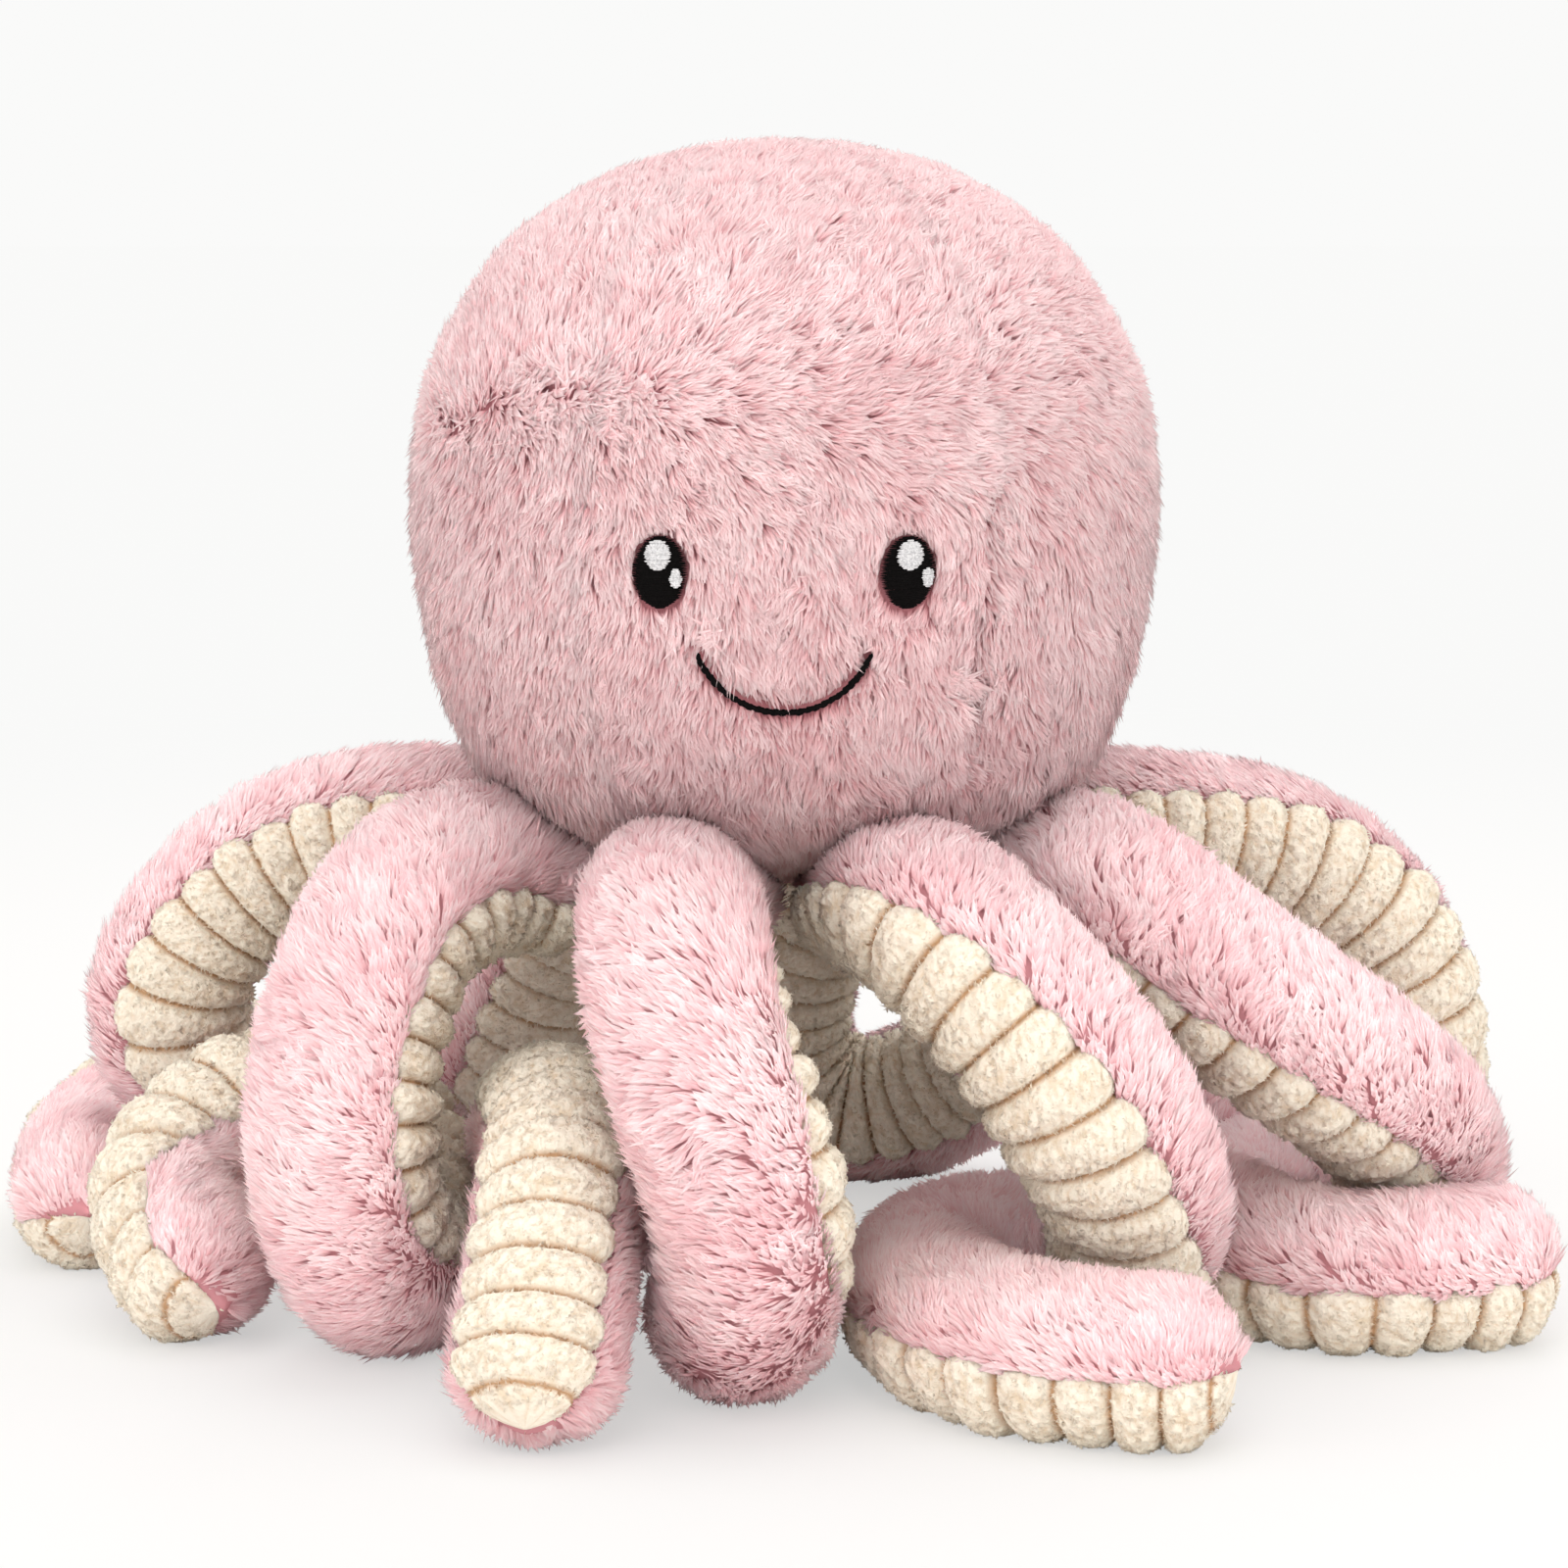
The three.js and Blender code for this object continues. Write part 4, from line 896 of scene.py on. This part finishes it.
def arm_skin(arm, seed):
    """The cloth under an arm's pile, closed along its flat inner side."""
    cap = ARM_R * TIP_LENGTH_SHARE * 0.97
    s = np.linspace(-cap, arm.total + cap, int(arm.total / 3.2))
    at, radius, along, up, side, turn = arm.sample(s)
    columns = 40
    angles = np.linspace(RIB_HALF_ANGLE, math.tau - RIB_HALF_ANGLE, columns)
    ring = np.cos(angles)[None, :, None] * up[:, None] + np.sin(angles)[None, :, None] * side[:, None]
    reach = np.maximum(radius - SKIN_DEPTH, radius * 0.3)
    tuck = np.clip((np.minimum(angles, math.tau - angles) - RIB_HALF_ANGLE) / 0.2, 0, 1)
    tuck = 0.8 + 0.2 * np.sin(tuck * math.pi / 2)
    points = at[:, None] + ring * (reach[:, None] * tuck)[..., None] - up[:, None] * (SPLIT_GAP / 2)
    normals = unit(ring + along[:, None] * turn[:, None, None])
    middle = at + up * (reach * math.cos(RIB_HALF_ANGLE) - SPLIT_GAP / 2)[:, None]
    points = np.concatenate([points, middle[:, None]], axis=1).reshape(-1, 3)
    normals = np.concatenate([normals, up[:, None]], axis=1).reshape(-1, 3)
    return points, sheet_faces(len(s), columns + 1, wrap=True), cloth_map(points, seed), normals


def arm_pile(arm, seed):
    """The locks of a sleeve, spread evenly over its area."""
    cap = ARM_R * TIP_LENGTH_SHARE
    area = (arm.total + 2 * cap) * ARM_R * 0.97 * (math.tau - 2 * RIB_HALF_ANGLE)
    count = min(int(area * LOCKS_PER_MM2), MOST_LOCKS)
    pairs = even_pairs(count, seed)
    s = -cap * 0.98 + (arm.total + cap * 1.96) * pairs[:, 0]
    theta = FUR_EDGE + (math.tau - 2 * FUR_EDGE) * pairs[:, 1]
    at, radius, along, up, side, turn = arm.sample(s)
    cosine, sine = np.cos(theta)[:, None], np.sin(theta)[:, None]
    ring = cosine * up + sine * side
    around = -sine * up + cosine * side
    normal = unit(ring * np.sqrt(1 - turn**2)[:, None] + along * turn[:, None])
    point = at + ring * radius[:, None] - up * (SPLIT_GAP / 2)
    edge = np.minimum(theta - RIB_HALF_ANGLE, math.tau - RIB_HALF_ANGLE - theta)
    roots = point - normal * (ROOT_DEPTH + 2.6 * np.clip(1 - edge / 0.2, 0, 1) ** 2)[:, None]
    # The pile is brushed towards the head and round the arm to its back.
    turned = -np.tanh(3 * side[:, 1]) + 0.25 * lumps(at, 60, seed + 12)
    inner = np.clip(edge / 0.5, 0, 1)
    round_arm = ARM_COMB_ROUND * turned * (1 - turn**2) * (inner * 0.8 + 0.2)
    comb = around * round_arm[:, None] - along * ARM_COMB_BACK - up * (turn**2 * TIP_COMB)[:, None]
    share = 0.5 + 0.5 * inner
    keep = (depth_in_head(point) < 1.0) & (point[:, 2] > -0.5)
    roots, normal, comb, share = roots[keep], normal[keep], comb[keep], share[keep]
    # Painted light: paler where the sleeve faces up, darker where it faces down.
    painted_light = 0.12 * np.clip(normal[:, 2] + 0.3, -0.6, 1)
    return fur(roots, normal, comb, seed, seed, count / area, share, painted_light)


def arm_fur(name, arm, finish, seed):
    arrays = coat(arm_skin(arm, seed), arm_pile(arm, seed))
    obj = piece(f"arm_{name}_fur", arrays, finish, f"{name}_arm", f"arm_{name}_plush")
    return obj


def nap_pile(points, normals, uvs, seed):
    """Short fibres all over a grid of points, each with the colour of its root."""
    dice = np.random.default_rng(seed)
    rows, columns = points.shape[:2]
    # A hair under the last row and column, so that each place has a next one.
    spread = [rows - 2 * NAP_END_ROWS - 1.001, columns - 1.001]
    pairs = even_pairs(NAP_FIBRES, seed) * spread + [NAP_END_ROWS, 0]
    i, j = pairs[:, 0].astype(int), pairs[:, 1].astype(int)
    u, v = (pairs[:, 0] - i)[:, None], (pairs[:, 1] - j)[:, None]

    def between(grid):
        low = grid[i, j] * (1 - v) + grid[i, j + 1] * v
        return low * (1 - u) + (grid[i + 1, j] * (1 - v) + grid[i + 1, j + 1] * v) * u

    roots, facing, place = between(points), unit(between(normals)), between(uvs)
    comb = drift(roots, 1.7, seed + 1) + dice.normal(0, 0.25, (NAP_FIBRES, 3))
    fluff = 1 + 0.4 * lumps(roots, 1.5, seed + 4) + dice.normal(0, 0.12, NAP_FIBRES)
    fluff = np.clip(fluff, 0.35, 1.7)
    width = NAP_WIDTH * dice.uniform(0.7, 1.3, NAP_FIBRES)
    length, lift, tone = NAP_LENGTH * fluff, NAP_LIFT * fluff, place[:, 0]
    fibres = grow(roots - facing * 0.3, facing, comb, length, lift, width, tone, dice, NAP_TILT)
    return fibres[0], fibres[1], np.repeat(place, LOCK_POINTS, axis=0), fibres[3]


def arm_ribs(name, arm, finish, seed):
    """The underside: one padded pillow for each rib, with a deep crease between pillows."""
    cap = ARM_R * TIP_LENGTH_SHARE * 0.98
    s = np.linspace(-cap, arm.total + cap, int((arm.total + 2 * cap) / 0.85))
    at, radius, _, up, side, turn = arm.sample(s)
    rows, columns = len(s), 58
    place = s / arm.pitch - 0.5
    off = np.abs(place - np.round(place)) * 2
    pillow = np.sqrt(np.clip(1 - off**2.4 * 0.985, 0, 1))
    pillow = (1 - (1 - pillow) * (1 - turn**2))[:, None]
    sizes = np.random.default_rng(seed).normal(0, 0.02, MOST_RIBS)
    size = sizes[np.round(place).astype(int) + RIBS_BEFORE_ROOT][:, None]
    theta = np.linspace(-1, 1, columns)[None, :] * (RIB_EDGE + 0.04)
    edge = np.abs(theta) / (RIB_EDGE * (0.84 + 0.16 * pillow + size))
    rounded = np.sqrt(np.clip(1 - np.clip((edge - 0.7) / 0.3, 0, 1) ** 2, 0, 1))
    reach = (RIB_FLOOR + (RIB_RISE + size) * pillow * rounded) * radius[:, None]
    ring = np.cos(theta)[..., None] * up[:, None] + np.sin(theta)[..., None] * side[:, None]
    outer = at[:, None] + ring * reach[..., None] + up[:, None] * (SPLIT_GAP / 2)
    nubs = np.abs(lumps(outer.reshape(-1, 3), NUB_SIZE, seed + 2)).reshape(rows, columns)
    outer = outer + ring * (NUB_HEIGHT * (np.minimum(nubs, 1) - 0.5))[..., None]
    normals = unit(np.cross(np.gradient(outer, axis=1), np.gradient(outer, axis=0)))
    normals = unit(normals * np.sign((normals * ring).sum(-1, keepdims=True) + 1e-6) + ring * 0.3)
    # The map holds the place along the ribs and the height of the nubs.
    u = np.broadcast_to(((s / arm.pitch + RIBS_BEFORE_ROOT) / MOST_RIBS)[:, None], (rows, columns))
    uvs = np.stack([u, np.clip(nubs, 0.02, 0.98)], axis=2)
    middle = at + up * (radius * math.cos(RIB_HALF_ANGLE) * 0.9)[:, None]
    middle_uvs = np.stack([u[:, :1], np.ones((rows, 1))], axis=2)
    cloth = (
        np.concatenate([outer, middle[:, None]], axis=1).reshape(-1, 3),
        sheet_faces(rows, columns + 1, wrap=True),
        np.concatenate([uvs, middle_uvs], axis=1).reshape(-1, 2),
        np.concatenate([normals, -up[:, None]], axis=1).reshape(-1, 3),
    )
    arrays = coat(cloth, nap_pile(outer, normals, uvs, seed + 7))
    obj = piece(f"arm_{name}_ribs_nap", arrays, finish, f"{name}_arm", f"arm_{name}_ribs")
    return obj


# Floor, light and camera


def backdrop():
    """A pale floor that keeps the shadow and fades into a white surround."""
    mesh = bpy.data.meshes.new("pale_floor")
    low, high = -FLOOR_HALF, FLOOR_HALF
    mesh.from_pydata([(low, low, 0), (high, low, 0), (high, high, 0), (low, high, 0)], [], [(0, 1, 2, 3)])
    linked("pale_floor", mesh)
    finish = Finish("pale_floor_paint", Roughness=1.0, Specular_IOR_Level=0.0)
    grain = finish.noise(400, 1.0)
    finish.colour(finish.ramp(grain, [(0.3, (0.90, 0.895, 0.89, 1)), (0.7, (0.91, 0.905, 0.90, 1))]))
    seen = finish.add("ShaderNodeLightPath").beside("Is Camera Ray")
    glow = finish.add("ShaderNodeEmission", None, {"Color": (0.95, 0.95, 0.942, 1), "Strength": 1.0})
    place = finish.add("ShaderNodeTexCoord", out=3)
    away = finish.add("ShaderNodeVectorMath", {"operation": "LENGTH"}, {0: place}, out=1)
    smooth = {"interpolation_type": "SMOOTHSTEP"}
    fade = finish.add("ShaderNodeMapRange", smooth, {0: away, 1: 0.35, 2: 1.1, 3: 0.55, 4: 1.0})
    painted = Socket(finish, finish.shader.outputs[0])
    mixed = finish.add("ShaderNodeMixShader", None, {0: fade * seen, 1: painted, 2: glow})
    finish.put(finish.tree.nodes["Material Output"].inputs["Surface"], mixed)
    mesh.materials.append(finish.material)


def world_light():
    """Even warm light from all round, while the camera sees plain near-white."""
    world = bpy.data.worlds.new("studio")
    bpy.context.scene.world = world
    world.use_nodes = True
    nodes = Nodes(world.node_tree)
    lit = nodes.tree.nodes["Background"]
    lit.inputs["Color"].default_value = (1.0, 0.973, 0.95, 1)
    lit.inputs["Strength"].default_value = WORLD_STRENGTH
    seen = nodes.add("ShaderNodeBackground", None, {"Color": (0.955, 0.955, 0.948, 1)})
    rays = nodes.add("ShaderNodeLightPath")
    share = rays.beside("Is Camera Ray")
    for kind in ("Is Glossy Ray", "Is Transmission Ray"):
        share = share.maths("MAXIMUM", share, rays.beside(kind))
    mixed = nodes.add("ShaderNodeMixShader", None, {0: share, 1: Socket(nodes, lit.outputs[0]), 2: seen})
    nodes.put(nodes.tree.nodes["World Output"].inputs["Surface"], mixed)


def aimed(name, data, place, target):
    obj = linked(name, data)
    obj.location = place
    obj.rotation_euler = (Vector(target) - obj.location).to_track_quat("-Z", "Y").to_euler()
    return obj


def soft_box(name, place, aim_height, size, power, tint):
    data = bpy.data.lights.new(name, "AREA")
    data.shape = "DISK"
    data.size = size
    data.energy = power
    data.color = tint
    aimed(name, data, place, (0, 0, aim_height))


def camera():
    """The photograph's camera: in front of the head's axis, a little above it."""
    target = Vector((AXIS[0] / MM_PER_M, AXIS[1] / MM_PER_M, CAMERA_AIM))
    data = bpy.data.cameras.new("camera")
    data.sensor_width = SENSOR_WIDTH
    data.lens = SENSOR_WIDTH * CAMERA_DISTANCE / (PHOTO_PIXELS * PHOTO_PIXEL_M)
    data.clip_start, data.clip_end = 0.05, 50.0
    away = Vector((0, -math.cos(CAMERA_RISE), math.sin(CAMERA_RISE)))
    bpy.context.scene.camera = aimed("camera", data, target + away * CAMERA_DISTANCE, target)


# Making

# Each fur's first colour is its roots', darker as painted shade deep in the pile.
head_fur = fur_finish("rose_fur", "c0747d", "e5b2b6", "f3e0e1", (0.88, 0.72, 0.73, 1), 0.4, 0.0025)
pink_fur = fur_finish("pink_fur", "d28c94", "f2cacd", "fae9ea", (0.9, 0.72, 0.74, 1), 0.45, 0.006)
nap = nap_finish()
threads = {
    "black": thread_finish("black_thread_stitches", "060505", "100e0e", 0.6, 0.05),
    "silver": thread_finish("silver_thread_stitches", "b9b9bb", "eeeeef", 0.45, 0.25),
}
base = cloth_finish("rose_base_cloth", "b97b7f", "e3adb0", 1.4)
fibre = cloth_finish("white_fibre", "e4e0da", "f6f3ee", 3.0)

for number, (name, (start, end)) in enumerate(HEAD_PANELS.items()):
    head_panel(name, start, end, head_fur, 100 + number * 50)
head_ball(fibre)
base_cloth(base)
for side, word in ((-1, "left"), (1, "right")):
    for part, oval in OVALS.items():
        stitched_oval(f"{word}_{part}", side * EYE_SPACING / 2, oval, threads)
smile(threads["black"])
for number, name in enumerate(ROUTES_SHARES):
    arm = Arm(name)
    arm_fur(name, arm, pink_fur, 500 + number * 50)
    arm_ribs(name, arm, nap, 900 + number * 50)

backdrop()
world_light()
for name, settings in LAMPS.items():
    soft_box(name, *settings)
camera()
bpy.context.scene.view_settings.view_transform = "Standard"
